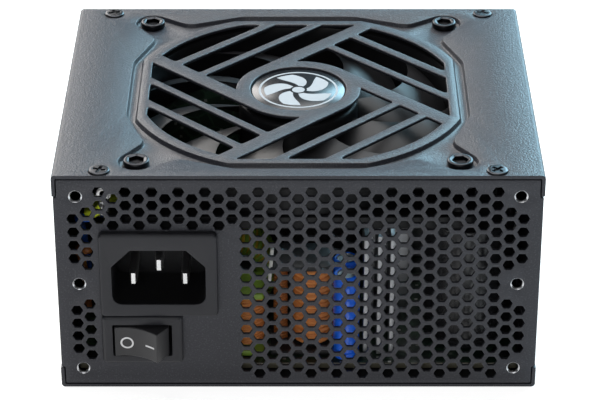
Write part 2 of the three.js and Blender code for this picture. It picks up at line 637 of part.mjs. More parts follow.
for (const [name, [across, x, z]] of Object.entries(SOCKETS)) {
  place(name, leadSocket(across), MATERIAL.plastic, x, HALF_D, z);
}
const socketBoardY = HALF_D - SOCKET_BACK - 2.1;
place("socket_board", block(-56, 56, socketBoardY, socketBoardY + 1.6, 17, 45.5), MATERIAL.board);

// ---- Inlet wires: two loop round to the board, and the earth wire ends in a lug by the case ----
function wire(points, radius = 1.1) {
  const curve = new THREE.CatmullRomCurve3(points.map((p) => new THREE.Vector3(...p)), false, "centripetal");
  const section = new THREE.Shape(polygonHole(0, 0, radius, 8).getPoints().slice(0, 8));
  return new THREE.ExtrudeGeometry(section, { steps: 32, extrudePath: curve, bevelEnabled: false });
}

const PIN_TAIL = -HALF_D + 0.8 + INLET.back + 5.5;
const BOARD_CLEAR = BOARD_TOP + 0.5;
const leaving = ([x, z]) => [
  [INLET_AT.x + x, PIN_TAIL, INLET_AT.z + z], [INLET_AT.x + x, PIN_TAIL + 2, INLET_AT.z + z],
];
const LUG = { x: -49.6, y: -46.6, z: 54.6 };

place("neutral_wire", wire([
  ...leaving(PIN_HOLES[0]), [-48, -21.5, 35], [-53.4, -29, 41], [-54.8, -38, 44.5], [-57.4, -33, 42],
  [-58, -22, 33], [-57.6, -14.5, 18], [-57.5, -13, BOARD_CLEAR + 2], [-57.5, -13, BOARD_CLEAR],
]), MATERIAL.neutralWire);
place("live_wire", wire([
  ...leaving(PIN_HOLES[1]), [-33, -19, 30], [-45, -20.5, 29], [-53.4, -31, 33], [-55, -40, 36],
  [-57.8, -34, 33], [-58, -25, 24], [-57.5, -20, 12], [-57.5, -19, BOARD_CLEAR + 2],
  [-57.5, -19, BOARD_CLEAR],
]), MATERIAL.liveWire);
const earthLug = block(-2, 2, -0.4, 0.4, 0, 4).translate(LUG.x, LUG.y, LUG.z);
place("earth_wire", joined(wire([
  ...leaving(PIN_HOLES[2]), [-42, -20.5, 40], [-49.5, -26.5, 44], [-53.4, -35.5, 47.4], [-54, -43, 48.8],
  [-51.6, -46.4, 51], [LUG.x, LUG.y, LUG.z - 0.6], [LUG.x, LUG.y, LUG.z + 0.4],
]), earthLug), MATERIAL.earthWire);

export default unit;
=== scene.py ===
import json
import math
import bmesh
import bpy
import numpy as np
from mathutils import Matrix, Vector
from mathutils.geometry import delaunay_2d_cdt


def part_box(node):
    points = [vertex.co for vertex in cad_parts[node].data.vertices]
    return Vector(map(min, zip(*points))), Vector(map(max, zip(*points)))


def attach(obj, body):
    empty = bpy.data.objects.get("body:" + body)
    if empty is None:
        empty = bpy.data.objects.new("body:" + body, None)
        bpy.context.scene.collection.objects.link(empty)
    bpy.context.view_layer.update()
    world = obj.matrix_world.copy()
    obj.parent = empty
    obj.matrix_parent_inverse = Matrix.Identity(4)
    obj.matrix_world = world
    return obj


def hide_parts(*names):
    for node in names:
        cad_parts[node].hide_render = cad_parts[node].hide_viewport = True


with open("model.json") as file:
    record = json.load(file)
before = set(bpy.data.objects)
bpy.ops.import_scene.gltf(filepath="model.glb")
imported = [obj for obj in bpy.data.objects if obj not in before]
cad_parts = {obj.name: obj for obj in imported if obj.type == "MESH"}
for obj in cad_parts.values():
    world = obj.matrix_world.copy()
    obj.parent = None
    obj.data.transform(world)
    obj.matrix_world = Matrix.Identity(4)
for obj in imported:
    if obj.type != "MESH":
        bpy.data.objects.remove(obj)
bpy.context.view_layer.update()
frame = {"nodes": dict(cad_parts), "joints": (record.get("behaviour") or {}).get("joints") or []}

print("frame loaded:", len(frame["nodes"]), "nodes")

# all lengths below are millimetres, turned to metres when a mesh is made
mm = 0.001
tau = 2 * math.pi


def boxOf(node):
    low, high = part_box(node)
    return np.array(low) / mm, np.array(high) / mm


def middleOf(node):
    low, high = boxOf(node)
    return (low + high) / 2


caseHigh = boxOf("top_cover")[1]
case = {"halfW": caseHigh[0], "halfD": caseHigh[1], "top": caseHigh[2], "sheet": 0.9, "flange": 6.0,
        "gap": 0.3, "sideGap": 0.05, "bend": 1.0, "wallStep": 0.25, "edge": 0.12}
fanLow, fanHigh = boxOf("fan_frame")
fanMid = middleOf("fan_frame")
fan = {"x": fanMid[0], "y": fanMid[1], "low": fanLow[2], "high": fanHigh[2], "side": fanHigh[0] - fanLow[0],
       "hole": 41.25, "bore": 43.4, "hub": 16.0, "tip": 42.1, "blades": 9}


def offsetLoop(loop, distance):
    # every point moves along the mitre of its two edges, outwards for a positive distance
    before = loop - np.roll(loop, 1, axis=0)
    after = np.roll(loop, -1, axis=0) - loop
    before /= np.linalg.norm(before, axis=1, keepdims=True)
    after /= np.linalg.norm(after, axis=1, keepdims=True)
    n1 = np.stack([before[:, 1], -before[:, 0]], 1)
    n2 = np.stack([after[:, 1], -after[:, 0]], 1)
    mitre = (n1 + n2) / np.maximum(1 + (n1 * n2).sum(1, keepdims=True), 0.35)
    return loop + distance * mitre


def roundLoop(corners, radius, steps=5, least=0.2):
    # each corner that turns by more than least radians becomes a curve: (1 - t) squared times its start, plus
    # 2 t (1 - t) times the corner, plus t squared times its end
    p = np.asarray(corners, float)
    r = np.broadcast_to(np.asarray(radius, float), len(p))
    toPrev = np.roll(p, 1, axis=0) - p
    toNext = np.roll(p, -1, axis=0) - p
    lenPrev, lenNext = np.linalg.norm(toPrev, axis=1), np.linalg.norm(toNext, axis=1)
    ePrev, eNext = toPrev / lenPrev[:, None], toNext / lenNext[:, None]
    angle = np.arccos(np.clip((ePrev * eNext).sum(1), -1, 1))
    reach = np.minimum(r / np.tan(np.maximum(angle, 0.05) / 2), 0.48 * np.minimum(lenPrev, lenNext))
    t = np.linspace(0, 1, steps)[None, :, None]
    arc = ((1 - t) ** 2 * (p + reach[:, None] * ePrev)[:, None] + 2 * t * (1 - t) * p[:, None]
           + t ** 2 * (p + reach[:, None] * eNext)[:, None])
    keep = np.ones(arc.shape[:2], bool)
    straight = (math.pi - angle < least) | (r <= 0)
    keep[straight] = False
    keep[straight, 0] = True
    arc[straight, 0] = p[straight]
    return arc[keep]


def rectLoop(x0, x1, y0, y1, radius=0.0, steps=5):
    corners = [[x0, y0], [x1, y0], [x1, y1], [x0, y1]]
    return roundLoop(corners, radius, steps) if radius else np.array(corners, float)


def centred(x, y, w, h, radius=0.0, steps=5):
    return rectLoop(x - w / 2, x + w / 2, y - h / 2, y + h / 2, radius, steps)


def circleLoop(x, y, radius, count=32, turn=0.0):
    a = turn + np.arange(count) * tau / count
    return np.stack([x + radius * np.cos(a), y + radius * np.sin(a)], 1)


def clipLoop(loop, normal, limit):
    # keeps the part of a convex loop where point . normal is at least limit
    d = loop @ np.asarray(normal) - limit
    dNext = np.roll(d, -1)
    share = d / np.where(np.abs(d - dNext) < 1e-12, 1, d - dNext)
    cross = loop + share[:, None] * (np.roll(loop, -1, axis=0) - loop)
    both = np.stack([loop, cross], 1)
    keep = np.stack([d >= 0, (d >= 0) != (dNext >= 0)], 1)
    return both[keep]


def turnLoop(loop, angle):
    c, s = math.cos(angle), math.sin(angle)
    return loop @ np.array([[c, s], [-s, c]])


class Shell:
    # gathers grids and flat fills, then makes one mesh of them; points closer than weld become one
    weld = 1e-4

    def __init__(self):
        self.points, self.faces, self.mats, self.total = [], [], [], 0

    def addFaces(self, faces, mat):
        self.faces.append(faces + self.total)
        self.mats.append(np.full(len(faces), mat, np.int32))

    def grids(self, p, closeU=False, closeV=False, mat=0):
        # p holds one or many grids of points, shaped (..., rows, columns, 3); quads join neighbours
        p = np.asarray(p, float)
        p = p.reshape(-1, *p.shape[-3:])
        m, nu, nv = p.shape[:3]
        at = np.arange(m * nu * nv).reshape(m, nu, nv)
        if closeU:
            at = np.concatenate([at, at[:, :1]], 1)
        if closeV:
            at = np.concatenate([at, at[:, :, :1]], 2)
        quads = np.stack([at[:, :-1, :-1], at[:, :-1, 1:], at[:, 1:, 1:], at[:, 1:, :-1]], -1).reshape(-1, 4)
        self.addFaces(quads, mat)
        self.points.append(p.reshape(-1, 3))
        self.total += m * nu * nv
        return self

    def fill(self, outer, holes, place, at=0.0, mat=0):
        # a flat face with holes at height at, as Delaunay triangles between the loops
        loops = [outer, *holes]
        flat = np.concatenate(loops)
        starts = np.cumsum([0] + [len(l) for l in loops])
        rings = [list(range(a, b)) for a, b in zip(starts[:-1], starts[1:])]
        out = delaunay_2d_cdt([Vector(p) for p in flat.tolist()], [], rings, 1, 1e-7)
        kept = np.array([f for f, inside in zip(out[2], out[5]) if list(inside) == [0]], int)
        flatOut = np.array([v[:] for v in out[0]], float)
        if not len(kept):
            raise ValueError("loops of a flat fill cross or touch")
        faces = np.concatenate([kept, kept[:, 2:]], 1)
        self.addFaces(faces, mat)
        self.points.append(place(flatOut, at))
        self.total += len(flatOut)
        return self

    def band(self, loop, rim, place, mat=0):
        # the loop moved outwards and to a height for each (offset, height) of the rim, joined in that order
        return self.grids([place(offsetLoop(loop, o), h) for o, h in rim], closeV=True, mat=mat)

    def plate(self, outer, outerRim, place, holes=(), holeRim=((0, 0), (0, 0)), mat=0):
        # a sheet between two faces: each rim is a list of (offset, height) from its front edge to its back
        for loop, rim in [(outer, outerRim), *((h, holeRim) for h in holes)]:
            self.band(loop, rim, place, mat=mat)
        for end in (0, -1):
            self.fill(offsetLoop(outer, outerRim[end][0]), [offsetLoop(h, holeRim[end][0]) for h in holes],
                      place, outerRim[end][1], mat)
        return self

    def sweep(self, loop, levels, place, mat=0):
        # a loop carried along a line: levels are (offset, height), and both ends are filled
        self.band(loop, levels, place, mat)
        for d, h in (levels[0], levels[-1]):
            self.fill(offsetLoop(loop, d), [], place, h, mat)
        return self

    def lathe(self, profile, x=0.0, y=0.0, count=48, mat=0):
        # (radius, z) pairs turned about a vertical line: x plus radius times cosine, y plus radius times sine
        rz = np.asarray(profile, float)
        a = np.arange(count) * tau / count
        p = np.stack([x + rz[:, :1] * np.cos(a), y + rz[:, :1] * np.sin(a), np.repeat(rz[:, 1:], count, 1)],
                     -1)
        return self.grids(p, closeV=True, mat=mat)

    def tube(self, path, radius, sides=8, mat=0):
        # a line's points plus radius times (cosine of a times its side plus sine of a times its upright)
        path = np.asarray(path, float)
        along = np.gradient(path, axis=0)
        along /= np.linalg.norm(along, axis=1, keepdims=True)
        up = np.array([0.31, 0.17, 0.93])
        side = np.cross(along, up)
        side /= np.linalg.norm(side, axis=1, keepdims=True)
        other = np.cross(side, along)
        a = np.arange(sides) * tau / sides
        ring = np.cos(a)[None, :, None] * side[:, None] + np.sin(a)[None, :, None] * other[:, None]
        tip = lambda i: np.repeat(path[i][None, None], sides, 1)
        return self.grids(np.concatenate([tip(0), path[:, None] + radius * ring, tip(-1)]), closeV=True,
                          mat=mat)

    def piece(self, name, body, materials, replaces=(), slot=None, smooth=32):
        points = np.concatenate(self.points)
        faces = np.concatenate(self.faces)
        mats = np.concatenate(self.mats)
        key = np.round(points / self.weld).astype(np.int64)
        _, first, same = np.unique(key, axis=0, return_index=True, return_inverse=True)
        points, faces = points[first], same.reshape(-1)[faces]
        # corners that fell together leave triangles, and fully folded faces go
        fresh = faces != np.roll(faces, 1, axis=1)
        count = fresh.sum(1)
        live = count >= 3
        faces, fresh, count, mats = faces[live], fresh[live], count[live], mats[live]
        mesh = bpy.data.meshes.new(name)
        mesh.vertices.add(len(points))
        mesh.vertices.foreach_set("co", (points * mm).astype(np.float32).ravel())
        mesh.loops.add(int(count.sum()))
        mesh.loops.foreach_set("vertex_index", faces[fresh].astype(np.int32))
        mesh.polygons.add(len(faces))
        mesh.polygons.foreach_set("loop_start", (np.cumsum(count) - count).astype(np.int32))
        mesh.polygons.foreach_set("loop_total", count.astype(np.int32))
        mesh.update(calc_edges=True)
        mesh.validate()
        mesh.polygons.foreach_set("material_index", mats[:len(mesh.polygons)])
        bm = bmesh.new()
        bm.from_mesh(mesh)
        bmesh.ops.recalc_face_normals(bm, faces=bm.faces)
        bm.to_mesh(mesh)
        bm.free()
        mesh.shade_smooth()
        mesh.set_sharp_from_angle(angle=math.radians(smooth))
        for material in materials if isinstance(materials, (list, tuple)) else [materials]:
            mesh.materials.append(material)
        obj = bpy.data.objects.new(name, mesh)
        bpy.context.scene.collection.objects.link(obj)
        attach(obj, body)
        if replaces:
            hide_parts(*([replaces] if isinstance(replaces, str) else replaces))
        return obj


# where a flat outline goes: upright on z, or standing in x and z with depth along y
def onZ(q, z=0.0):
    return np.column_stack([q, np.full(len(q), z)])


def above(z):
    return lambda q, h=0.0: onZ(q, z + h)


def standing(y):
    return lambda q, depth=0.0: np.column_stack([q[:, 0], np.full(len(q), y + depth), q[:, 1]])


def standingBack(y):
    return lambda q, depth=0.0: standing(y)(q, -depth)


def rimOut(edge, thick, start=0.0, steps=3):
    # quarter circles on a sheet's outer edges: offset is -edge (1 - sine), height start + edge (1 - cosine)
    a = np.linspace(0, math.pi / 2, steps)
    front = [(-edge * (1 - math.sin(t)), start + edge * (1 - math.cos(t))) for t in a]
    return front + [(d, 2 * start + thick - h) for d, h in front[::-1]]


def rimIn(edge, thick, start=0.0, steps=3):
    return [(-d, h) for d, h in rimOut(edge, thick, start, steps)]


class Wire:
    def __init__(self, graph, socket):
        self.graph, self.socket = graph, socket

    def mathWith(self, operation, *values):
        return self.graph.add("ShaderNodeMath", {"operation": operation}, dict(enumerate(values)))

    def __add__(self, other):
        return self.mathWith("ADD", self, other)

    def __sub__(self, other):
        return self.mathWith("SUBTRACT", self, other)

    def __rsub__(self, other):
        return self.mathWith("SUBTRACT", other, self)

    def __mul__(self, other):
        return self.mathWith("MULTIPLY", self, other)

    def __lt__(self, other):
        return self.mathWith("LESS_THAN", self, other)

    __radd__, __rmul__ = __add__, __mul__


class Finish:
    # one material; its graph grows by add() and by expressions on what add() returns
    def __init__(self, name):
        self.material = bpy.data.materials.new(name)
        self.material.use_nodes = True
        self.tree = self.material.node_tree
        self.shader = self.tree.nodes["Principled BSDF"]
        self.place = self.add("ShaderNodeTexCoord", out="Object")

    def add(self, kind, settings=None, inputs=None, out=0):
        node = self.tree.nodes.new(kind)
        for key, value in (settings or {}).items():
            if key == "stops":
                self.setStops(node.color_ramp, value)
            else:
                setattr(node, key, value)
        for key, value in (inputs or {}).items():
            self.feed(node.inputs[key], value)
        return Wire(self, node.outputs[out])

    def setStops(self, ramp, stops):
        for at, shade in stops[:-1]:
            ramp.elements.new(at)
        ramp.elements.remove(ramp.elements[0])
        for element, (at, shade) in zip(ramp.elements, stops):
            element.position = at
            element.color = (shade,) * 3 + (1,) if isinstance(shade, (int, float)) else (*shade, 1)

    def feed(self, socket, value):
        if isinstance(value, Wire):
            self.tree.links.new(value.socket, socket)
        elif socket.type == "RGBA" and len(value) == 3:
            socket.default_value = (*value, 1)
        else:
            socket.default_value = value

    def noise(self, scale, detail=3.0, rough=0.55, vector=None):
        inputs = {"Vector": vector or self.place, "Scale": scale, "Detail": detail, "Roughness": rough}
        return self.add("ShaderNodeTexNoise", None, inputs, "Fac")

    def mix(self, share, a, b):
        node = self.tree.nodes.new("ShaderNodeMix")
        node.data_type = "RGBA"
        self.feed(node.inputs[0], share)
        self.feed(node.inputs[6], a)
        self.feed(node.inputs[7], b)
        return Wire(self, node.outputs[2])

    def smooth(self, value, low, high, toLow=0.0, toHigh=1.0):
        settings = {"interpolation_type": "SMOOTHSTEP"}
        return self.add("ShaderNodeMapRange", settings, {"Value": value, "From Min": low, "From Max": high,
                                                         "To Min": toLow, "To Max": toHigh})

    def bump(self, height, distance, strength=1.0, under=None):
        inputs = {"Height": height, "Distance": distance, "Strength": strength}
        if under:
            inputs["Normal"] = under
        return self.add("ShaderNodeBump", None, inputs)

    def edges(self, width):
        # 1 where the surface turns within width, from the bevelled normal's lean
        soft = self.add("ShaderNodeBevel", {"samples": 4}, {"Radius": width})
        hard = self.add("ShaderNodeNewGeometry", out="Normal")
        lean = self.add("ShaderNodeVectorMath", {"operation": "DOT_PRODUCT"}, {0: soft, 1: hard}, "Value")
        return self.smooth(lean, 0.995, 0.9)

    def done(self, **sockets):
        for name, value in sockets.items():
            words = "".join(" " + c if c.isupper() else c for c in name).strip().title()
            self.feed(self.shader.inputs[words.replace("Ior", "IOR")], value)
        return self.material


def powderCoat():
    f = Finish("powder_coat")
    grain = f.noise(2100, 2.0, 0.6)
    pebble = f.noise(800, 2.0)
    cloud = f.noise(35, 3.0)
    # 1 on edges within 0.3 mm: there the colour is lightened as a painted edge highlight, and the roughness
    #                           drops a little
    edgeHighlightShare = f.edges(0.0003)
    tone = f.mix(cloud, coat["dark"], coat["light"])
    speck = f.smooth(grain, 0.52, 0.72)
    tone = f.mix(speck * 0.3, tone, coat["speck"])
    # painted edge highlight: edges are mixed a quarter of the way to a lighter grey
    tone = f.mix(edgeHighlightShare * 0.25, tone, coat["worn"])
    relief = f.bump(grain * 0.8 + pebble * 0.2, coat["grainHigh"], coat["grainShow"])
    return f.done(baseColor=tone, roughness=coat["rough"] + 0.14 * (grain - 0.5) - 0.05 * edgeHighlightShare, normal=relief,
                  specularIorLevel=coat["specular"])


# worn is the lighter grey of the painted edge highlight on the coat's edges
coat = {"dark": (0.017, 0.018, 0.023), "light": (0.024, 0.025, 0.032), "speck": (0.11, 0.112, 0.125),
        "worn": (0.1, 0.102, 0.11), "grainHigh": 0.00018, "grainShow": 1.0, "rough": 0.4, "specular": 0.27}


def plastic(name, base, rough, grain=0.00003, scale=2200, shine=None, specular=0.5):
    f = Finish(name)
    fine = f.noise(scale, 2.0)
    cloud = f.noise(60, 3.0)
    tone = f.mix(cloud, tuple(c * 0.85 for c in base), tuple(min(1, c * 1.15) for c in base))
    scuff = f.smooth(f.noise(240, 4.0, 0.7), 0.62, 0.75)
    tone = f.mix(scuff * 0.12, tone, tuple(min(1, c * 2.2 + 0.01) for c in base))
    sockets = {"baseColor": tone, "roughness": rough + 0.1 * (fine - 0.5) + 0.06 * scuff,
               "normal": f.bump(fine, grain, 0.6), "specularIorLevel": specular}
    if shine:
        sockets["coatWeight"] = shine
    return f.done(**sockets)


def metal(name, base, rough, brushed=0.0, tint=None):
    f = Finish(name)
    fine = f.noise(1500, 3.0)
    stain = f.noise(120, 4.0)
    tone = f.mix(stain, base, tint or tuple(c * 0.8 for c in base))
    relief = f.bump(fine, 0.00001, 0.5)
    if brushed:
        stretched = f.add("ShaderNodeMapping", None, {"Vector": f.place, "Scale": (1, 1, brushed)})
        streak = f.noise(3000, 2.0, vector=stretched)
        relief = f.bump(streak, 0.00002, 0.5)
        return f.done(baseColor=tone, metallic=1.0, roughness=rough + 0.25 * (streak - 0.5), normal=relief)
    return f.done(baseColor=tone, metallic=1.0, roughness=rough + 0.2 * (stain - 0.5), normal=relief)


def boardFinish():
    # solder mask with traces and small pads
    f = Finish("circuit_board")
    squares = f.add("ShaderNodeTexVoronoi", {"distance": "CHEBYCHEV"}, {"Vector": f.place, "Scale": 320.0})
    cells = f.add("ShaderNodeTexVoronoi", {"feature": "DISTANCE_TO_EDGE"},
                  {"Vector": f.place, "Scale": 160.0})
    trace = f.smooth(cells, 0.03, 0.06)
    pad = f.smooth(squares, 0.16, 0.1)
    tone = f.mix(trace, (0.02, 0.05, 0.028), (0.006, 0.018, 0.011))
    tone = f.mix(pad, tone, (0.4, 0.4, 0.38))
    depth = f.add("ShaderNodeSeparateXYZ", None, {0: f.place}, "Y")
    tone = f.mix(depth < -0.0468, tone, (0.07, 0.065, 0.045))
    return f.done(baseColor=tone, roughness=0.35 + 0.1 * f.noise(400), metallic=pad * 0.8,
                  normal=f.bump(trace * -1.0 + pad, 0.00004, 0.5))


finish = {
    "coat": powderCoat(),
    "screw": metal("black_screw", (0.035, 0.036, 0.04), 0.36, tint=(0.02, 0.02, 0.022)),
    "bare": metal("bare_steel", (0.62, 0.63, 0.65), 0.3),
    "moulded": plastic("moulded_black", (0.016, 0.0165, 0.02), 0.45, specular=0.25),
    # painted shade: a darker copy of the black moulding, used inside deep recesses
    "well": plastic("well_painted_shade", (0.008, 0.008, 0.009), 0.5, specular=0.25),
    "rocker": plastic("rocker_black", (0.018, 0.018, 0.02), 0.3, 0.00001, specular=0.32),
    "mark": plastic("white_mark", (0.55, 0.55, 0.56), 0.5, 0.00001),
    "fan": plastic("fan_plastic", (0.009, 0.009, 0.01), 0.4, 0.000008, specular=0.2),
    "contact": metal("contact_metal", (0.6, 0.6, 0.6), 0.34),
    "board": boardFinish(),
    "insulator": plastic("insulator", (0.012, 0.012, 0.013), 0.5),
    "copper": plastic("copper_winding", (0.82, 0.32, 0.1), 0.26, 0.00001),
    "aluminium": metal("aluminium_fin", (0.5, 0.51, 0.53), 0.36, brushed=0.04),
    "sleeve": plastic("black_sleeve", (0.014, 0.014, 0.016), 0.22, 0.00001),
    "blue": plastic("blue_epoxy", (0.015, 0.15, 0.9), 0.25, 0.00001, shine=0.3),
    "green": plastic("choke_core", (0.25, 0.4, 0.05), 0.4, 0.00001),
    "yellow": plastic("yellow_case", (0.75, 0.5, 0.05), 0.35, 0.00001),
    "white": plastic("white_bobbin", (0.7, 0.7, 0.66), 0.45, 0.00001),
    "badge": plastic("badge_face", (0.009, 0.01, 0.012), 0.24, 0.000003, specular=0.3),
    "silver": plastic("badge_silver", (0.3, 0.31, 0.325), 0.42, 0.000003, specular=0.3),
    "brass": metal("brass", (0.72, 0.52, 0.22), 0.3),
    "live": plastic("live_insulation", (0.34, 0.12, 0.035), 0.35, 0.00001),
    "neutral": plastic("neutral_insulation", (0.03, 0.2, 0.9), 0.35, 0.00001),
    "earth": plastic("earth_insulation", (0.62, 0.72, 0.04), 0.35, 0.00001),
}
print("materials made:", len(finish))


def channelLoop():
    # section of the top cover in x and z: plate, short flanges, and bends that are quarter circles, at the
    # bend's centre plus its radius times (cosine, sine)
    w, top, t, bend = case["halfW"], case["top"], case["sheet"], case["bend"]
    low = top - case["flange"]
    a = np.linspace(0, math.pi / 2, 6)
    outer = np.stack([w - bend + bend * np.cos(a), top - bend + bend * np.sin(a)], 1)
    inner = np.array([[w - t, top - t - 0.1], [w - t - 0.1, top - t]])
    edge = case["edge"]
    foot = np.array([[w - t, low + edge], [w - t + edge, low], [w - edge, low], [w, low + edge]])
    right = np.concatenate([foot, outer])
    left = right[::-1] * [-1, 1]
    return np.concatenate([right, left, inner[::-1] * [-1, 1], inner])


def channelSheet(shell):
    # the swept section, leaving the top and underside of the plate open between its two bends
    loop = channelLoop()
    edge, d = case["edge"], case["halfD"]
    depths = [(-edge, -d), (0, -d + edge), (0, d - edge), (-edge, d)]
    place = standing(0)
    rings = [place(offsetLoop(loop, o), y) for o, y in depths]
    topAt = 9
    underAt = topAt + 11
    for k, (a, b) in enumerate(zip(rings[:-1], rings[1:])):
        for start, stop in ((topAt + 1, underAt), (underAt + 2, len(loop) + topAt)):
            cols = np.arange(start, stop + 1) % len(loop)
            shell.grids([a[cols], b[cols]])
        if k != 1:
            shell.grids([a[[topAt, topAt + 1]], b[[topAt, topAt + 1]]])
            shell.grids([a[[underAt, underAt + 1]], b[[underAt, underAt + 1]]])
    for o, y in (depths[0], depths[-1]):
        shell.fill(offsetLoop(loop, o), [], place, y)
    return loop[topAt][0], abs(loop[underAt][0]), d - edge


bars = {"hub": 16.8, "spoke": (12.2, 17.0), "bands": ((17.0, 23.5), (26.0, 32.9), (35.6, 60.0)),
        "circle": 42.8, "square": 39.95, "corner": 0.8}
disc = {"radius": 46.3, "flat": 42.7}
dish = {"radius": 12.9, "depth": 1.2, "back": 13.8}
moat = {"flat": 45.2, "flatHalf": 16.0, "valley": (39.7, 31.0), "lobe": 4.6, "floor": case["top"] - 1.2}


def squaredCircle(radius, flat, count=20):
    # radius times (cosine, sine), cut by four flats where radius times cosine would pass the flat
    half = math.acos(min(1.0, flat / radius))
    a = np.linspace(half, math.pi / 2 - half, count)
    quarter = radius * np.stack([np.cos(a), np.sin(a)], 1)
    return np.concatenate([turnLoop(quarter, k * tau / 4) for k in range(4)])


def besideHub(cell, along, side):
    # the inner corner of a slot gives way to an arc round the middle
    near, far = bars["spoke"]
    corner = np.argmin(np.abs(cell @ along + near) + np.abs(cell @ side - far))
    a = np.linspace(math.asin(near / bars["hub"]), 0, 14)
    arc = bars["hub"] * (np.cos(a)[:, None] * side - np.sin(a)[:, None] * along)
    return np.concatenate([cell[:corner], arc, cell[corner + 1:]])


def slotLoops():
    region = squaredCircle(bars["circle"], bars["square"])
    loops = []
    for quarter in range(4):
        turn = tau / 8 + quarter * tau / 4
        along = np.array([math.cos(turn), math.sin(turn)])
        side = np.array([-along[1], along[0]])
        for near, far in bars["bands"]:
            cell = clipLoop(clipLoop(region, along, -bars["spoke"][0]), side, near)
            cell = clipLoop(cell, -side, -far)
            if near == bars["spoke"][1]:
                cell = besideHub(cell, along, side)
            loops.append(roundLoop(cell, bars["corner"], 5, 0.3) + [fan["x"], fan["y"]])
    return loops


def moatLoop():
    # four flats, a valley beside each corner and a lobe round each fan screw
    v = np.array(moat["valley"])
    c = np.array([fan["hole"], fan["hole"]])
    gap = v - c
    start = math.atan2(gap[1], gap[0]) + math.acos(moat["lobe"] / np.linalg.norm(gap))
    a = np.linspace(start, tau / 4 - start, 21)
    arc = c + moat["lobe"] * np.stack([np.cos(a), np.sin(a)], 1)
    flat, half = moat["flat"], moat["flatHalf"]
    corner = np.concatenate([[[flat, half], v], arc, [v[::-1], [half, flat]]])
    radii = ([10, 5] + [0] * len(a) + [5, 10]) * 4
    points = np.concatenate([turnLoop(corner, k * tau / 4) for k in range(4)])
    return roundLoop(points, radii, 9, 0.05) + [fan["x"], fan["y"]]


coverScrews = [middleOf(f"cover_screw_{i}")[:2] for i in range(1, 5)]
fanScrews = [middleOf(f"fan_screw_{i}")[:2] for i in range(1, 5)]


def topCover():
    top, t, floor = case["top"], case["sheet"], moat["floor"]
    shell = Shell()
    w, inner, d = channelSheet(shell)
    ring = moatLoop()
    hub = squaredCircle(disc["radius"], disc["flat"]) + [fan["x"], fan["y"]]
    slots = slotLoops()
    screwHoles = [circleLoop(x, y, 3.0, 32) for x, y in coverScrews]
    fanHoles = [circleLoop(x, y, 2.1, 24) for x, y in fanScrews]
    # the moat's two walls, above and below: height eases by s squared times (3 - 2 s) while s runs across
    s = np.linspace(0, 1, 9)
    wall = s * s * (3 - 2 * s)
    upper = [(0.3 - 0.75 * a, top - (top - floor) * b) for a, b in zip(s, wall)]
    lower = [(1.1 - 0.75 * a, top - t - (top - floor) * b) for a, b in zip(s, wall)]
    discUp = [(0.35 - 0.7 * a, floor + (top - floor) * b) for a, b in zip(s, wall)]
    discLow = [(-0.45 - 0.7 * a, floor - t + (top - floor) * b) for a, b in zip(s, wall)]
    for loop, rim in ((ring, upper), (ring, lower), (hub, discUp), (hub, discLow)):
        shell.band(loop, rim, onZ)
    # holes: slots with rolled edges, dimples for the flat screws
    roll = [(0.34, top), (0.2, top - 0.03), (0.08, top - 0.12), (0, top - 0.3), (0, top - t + 0.15),
            (0.12, top - t)]
    dimple = [(0, top), (-0.12, top - 0.02), (-0.25, top - 0.12), (-1.3, top - 0.3), (-1.3, top - t)]
    plain = [(0.1, floor), (0, floor - 0.1), (0, floor - t)]
    for loops, rim in ((slots, roll), (screwHoles, dimple), (fanHoles, plain)):
        for loop in loops:
            shell.band(loop, rim, onZ)
    grown = lambda loops, o: [offsetLoop(l, o) for l in loops]
    shell.fill(centred(0, 0, 2 * w, 2 * d), [offsetLoop(ring, upper[0][0])] + screwHoles, onZ, top)
    shell.fill(centred(0, 0, 2 * inner, 2 * d), [offsetLoop(ring, lower[0][0])] + grown(screwHoles, -1.3),
               onZ, top - t)
    shell.fill(offsetLoop(ring, upper[-1][0]), [offsetLoop(hub, discUp[0][0])] + grown(fanHoles, 0.1),
               onZ, floor)
    shell.fill(offsetLoop(ring, lower[-1][0]), [offsetLoop(hub, discLow[0][0])] + fanHoles,
               onZ, floor - t)
    rim = circleLoop(fan["x"], fan["y"], dish["radius"], 96)
    back = circleLoop(fan["x"], fan["y"], dish["back"], 96)
    base = top - dish["depth"]
    shell.fill(offsetLoop(hub, discUp[-1][0]), grown(slots, roll[0][0]) + [offsetLoop(rim, 0.3)],
               onZ, top)
    shell.fill(offsetLoop(hub, discLow[-1][0]), grown(slots, roll[-1][0]) + [back], onZ, top - t)
    bowl = [(0.3, top), (0.13, top - 0.04), (0.04, top - 0.14), (0, top - 0.35), (0, base + 0.1),
            (-0.1, base)]
    shell.band(rim, bowl, onZ)
    shell.fill(offsetLoop(rim, -0.1), [], onZ, base)
    shell.band(back, [(0, top - t), (-0.2, base - t + 0.2), (-0.4, base - t)], onZ)
    shell.fill(offsetLoop(back, -0.4), [], onZ, base - t)
    return shell.piece("cover_top", "case", finish["coat"], "top_cover", "powder_coat", smooth=40)


def bottomPan():
    shell = Shell()
    w, inner, d = channelSheet(shell)
    top, t = case["top"], case["sheet"]
    shell.fill(rectLoop(-w, w, -d, d), [], onZ, top)
    shell.fill(rectLoop(-inner, inner, -d, d), [], onZ, top - t)
    shell.points = [p * [1, 1, -1] + [0, 0, top] for p in shell.points]
    for x in (-50.5, 50.5):
        tab = rectLoop(x - 1.2, x + 1.2, 0.15, 0.8, 0.25)
        shell.plate(tab, rimOut(0.12, 0.5), standing(-d - 0.22))
    return shell.piece("pan_bottom", "case", finish["coat"], "bottom_pan", "powder_coat", smooth=40)


def wallHalf():
    # the stepped edge shared by the side walls and both end panels: (x, z) of the right side
    w, t, gap, flange, top = case["halfW"], case["sheet"], case["gap"], case["flange"], case["top"]
    out, step = w - case["wallStep"], w - t - gap
    return out, step, [t + gap, flange + gap, top - flange - gap, top - t - gap]


